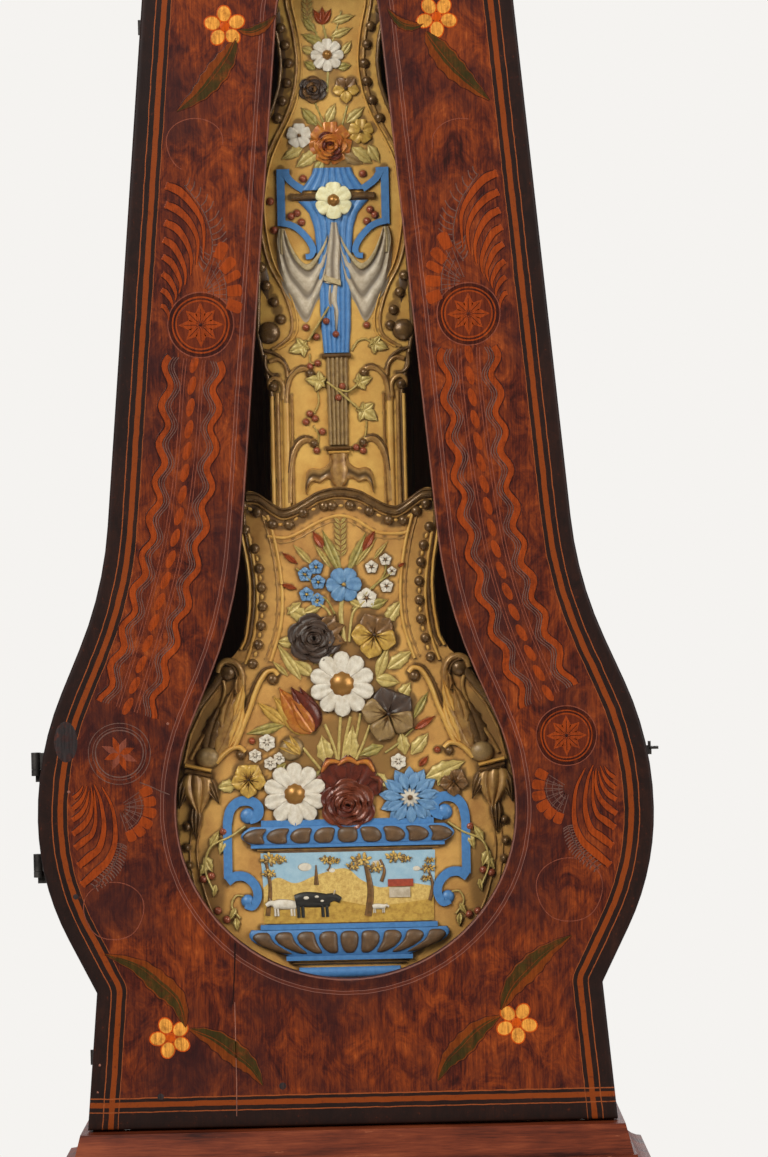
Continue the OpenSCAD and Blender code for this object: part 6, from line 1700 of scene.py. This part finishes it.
# dial numerals: upright strokes of dark enamel that follow the crowned face
dialRead = {"z": 1800.0, "front": 89.1, "fall": 1.2, "inner": 56.0, "reach": 44.8, "numeralIn": 66.0,
    "numeralTall": 22.0, "thick": 3.2, "thin": 0.9, "gap": 1.3, "track": (95.0, 101.0), "dot": 0.8, "fiveDot": 1.5,
    "lift": 0.25}
dialBlack, tree, shader, place = newMaterial("black_fired_enamel")  # fired on, glossy and a little uneven
flecks = noise(tree, place, 3, 4.0)
inky = mixed(tree, flecks.outputs["Fac"], "#17181c", "#2a2a2e")
tree.links.new(inky, shader.inputs["Base Color"])
shader.inputs["Roughness"].default_value = 0.2
numerals = Relief(0.0, {"ink": dialBlack})
strokesOf = {"I": (4.6, [((0, 0), (0, 1), "thick"), ((-0.5, 0), (0.5, 0), "thin"), ((-0.5, 1), (0.5, 1), "thin")]),
    "V": (11.0, [((-0.36, 1), (0, 0), "thick"), ((0.36, 1), (0, 0), "thin"), ((-0.56, 1), (-0.16, 1), "thin"),
    ((0.2, 1), (0.52, 1), "thin")]), "X": (11.5, [((-0.36, 1), (0.36, 0), "thick"), ((0.36, 1), (-0.36, 0), "thin"),
    ((-0.54, 1), (-0.16, 1), "thin"), ((0.2, 1), (0.52, 1), "thin"), ((-0.52, 0), (-0.2, 0), "thin"),
    ((0.16, 0), (0.54, 0), "thin")])}
for hour, letters in enumerate(["XII", "I", "II", "III", "IIII", "V", "VI", "VII", "VIII", "IX", "X", "XI"]):
    turn = math.pi / 2 - math.pi / 6 * hour
    out, across = Vector((math.cos(turn), math.sin(turn))), Vector((math.sin(turn), -math.cos(turn)))
    total = sum(strokesOf[c][0] for c in letters) + dialRead["gap"] * (len(letters) - 1)
    start = -total / 2
    for letter in letters:
        wide, parts = strokesOf[letter]
        for (u0, v0), (u1, v1), weight in parts:
            ends = [across * (start + wide / 2 + u * wide) + out * (dialRead["numeralIn"]
                + v * dialRead["numeralTall"]) for u, v in ((u0, v0), (u1, v1))]
            numerals.band([ends[0] + (ends[1] - ends[0]) * k / 4 for k in range(5)], dialRead[weight],
                dialRead["lift"], "ink", section=flatSection)
        start += wide + dialRead["gap"]
for radius in dialRead["track"]:
    numerals.band([(radius * math.cos(a), radius * math.sin(a)) for a in np.linspace(0, 2 * math.pi, 97)], 0.5,
        dialRead["lift"], "ink", section=flatSection)
dialNumerals = numerals.build("dialNumerals")


def onFace(radius):
    # how far the crowned face stands in front of the middle plane, in mm
    return dialRead["front"] - dialRead["fall"] * (radius - dialRead["inner"]) / dialRead["reach"]


for vertex in dialNumerals.data.vertices:
    radius = math.hypot(vertex.co.x, vertex.co.z) / mm
    vertex.co.y -= onFace(radius) * mm
    vertex.co.z += dialRead["z"] * mm
dotTree = beadTree(dialBlack)
dotPieces = []
for name, count, size in (("minuteDots", 60, dialRead["dot"]), ("fiveMinuteDots", 12, dialRead["fiveDot"])):
    points = bpy.data.meshes.new(name)
    middle = sum(dialRead["track"]) / 2
    points.from_pydata([(middle * mm * math.cos(a), -onFace(middle) * mm, (dialRead["z"] + middle * math.sin(a)) * mm)
        for a in np.linspace(0, 2 * math.pi, count + 1)[:-1]], [], [])
    dotPieces.append(fromNodes(name, points, dotTree, {"Radius": size * mm, "Height": dialRead["lift"] * mm}))
for piece in [dialNumerals] + dotPieces:
    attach(piece, "case")
print("dial numerals:", len(numerals.faces), "faces")


# weight ropes: three strands laid round each other
def ropeTree(finish):
    tree, given = nodeTree("laidRope", ("Turns", "Height", "Lay", "Strand"), ("Place",))
    helix = addNode(tree, "GeometryNodeCurveSpiral", None, {"Resolution": 9, "Rotations": given.outputs["Turns"],
        "Start Radius": given.outputs["Lay"], "End Radius": given.outputs["Lay"], "Height": given.outputs["Height"]})
    joined = tree.nodes.new("GeometryNodeJoinGeometry")
    for k in range(3):
        turned = addNode(tree, "GeometryNodeTransform", None, {"Geometry": helix, "Rotation": (0, 0,
            2 * math.pi * k / 3)})
        tree.links.new(turned.outputs[0], joined.inputs[0])
    profile = addNode(tree, "GeometryNodeCurvePrimitiveCircle", None,
        {"Resolution": 5, "Radius": given.outputs["Strand"]})
    strands = addNode(tree, "GeometryNodeCurveToMesh", None, {"Curve": joined, "Profile Curve": profile,
        "Fill Caps": True})
    hung = addNode(tree, "GeometryNodeTransform", None, {"Geometry": strands, "Translation": given.outputs["Place"]})
    real = addNode(tree, "GeometryNodeRealizeInstances", None, {"Geometry": hung})
    smooth = addNode(tree, "GeometryNodeSetShadeSmooth", None, {"Geometry": real})
    painted = addNode(tree, "GeometryNodeSetMaterial", None, {"Geometry": smooth, "Material": finish})
    addNode(tree, "NodeGroupOutput", None, {"Geometry": painted})
    return tree


hemp, tree, shader, place = newMaterial("hemp_rope_laid")  # dull straw-brown fibre, hairy rather than shiny
fibres = noise(tree, place, 0.8, 4.0)
straw = mixed(tree, fibres.outputs["Fac"], "#8f7448", "#c2a873")
tree.links.new(straw, shader.inputs["Base Color"])
shader.inputs["Roughness"].default_value = 0.9
fuzz = addNode(tree, "ShaderNodeBump", None, {"Strength": 0.4, "Distance": 0.2 * mm, "Height": fibres.outputs["Fac"]})
tree.links.new(fuzz.outputs[0], shader.inputs["Normal"])
rope = {"x": 72.3, "y": 63.0, "top": 1698.0, "foot": 257.1, "lay": 0.72, "strand": 0.76, "pitch": 11.0}
laidTree = ropeTree(hemp)
for name, side, weight in (("goingRopeLaid", 1, "going"), ("strikeRopeLaid", -1, "strike")):
    tall = rope["top"] - rope["foot"]
    strands = fromNodes(name, bpy.data.meshes.new(name), laidTree, {
        "Turns": tall / rope["pitch"], "Height": tall * mm, "Lay": rope["lay"] * mm, "Strand": rope["strand"] * mm,
        "Place": (side * rope["x"] * mm, rope["y"] * mm, rope["foot"] * mm)})
    outward(strands.data)
    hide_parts(weight + "_rope")
    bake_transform(strands)
print("ropes laid")
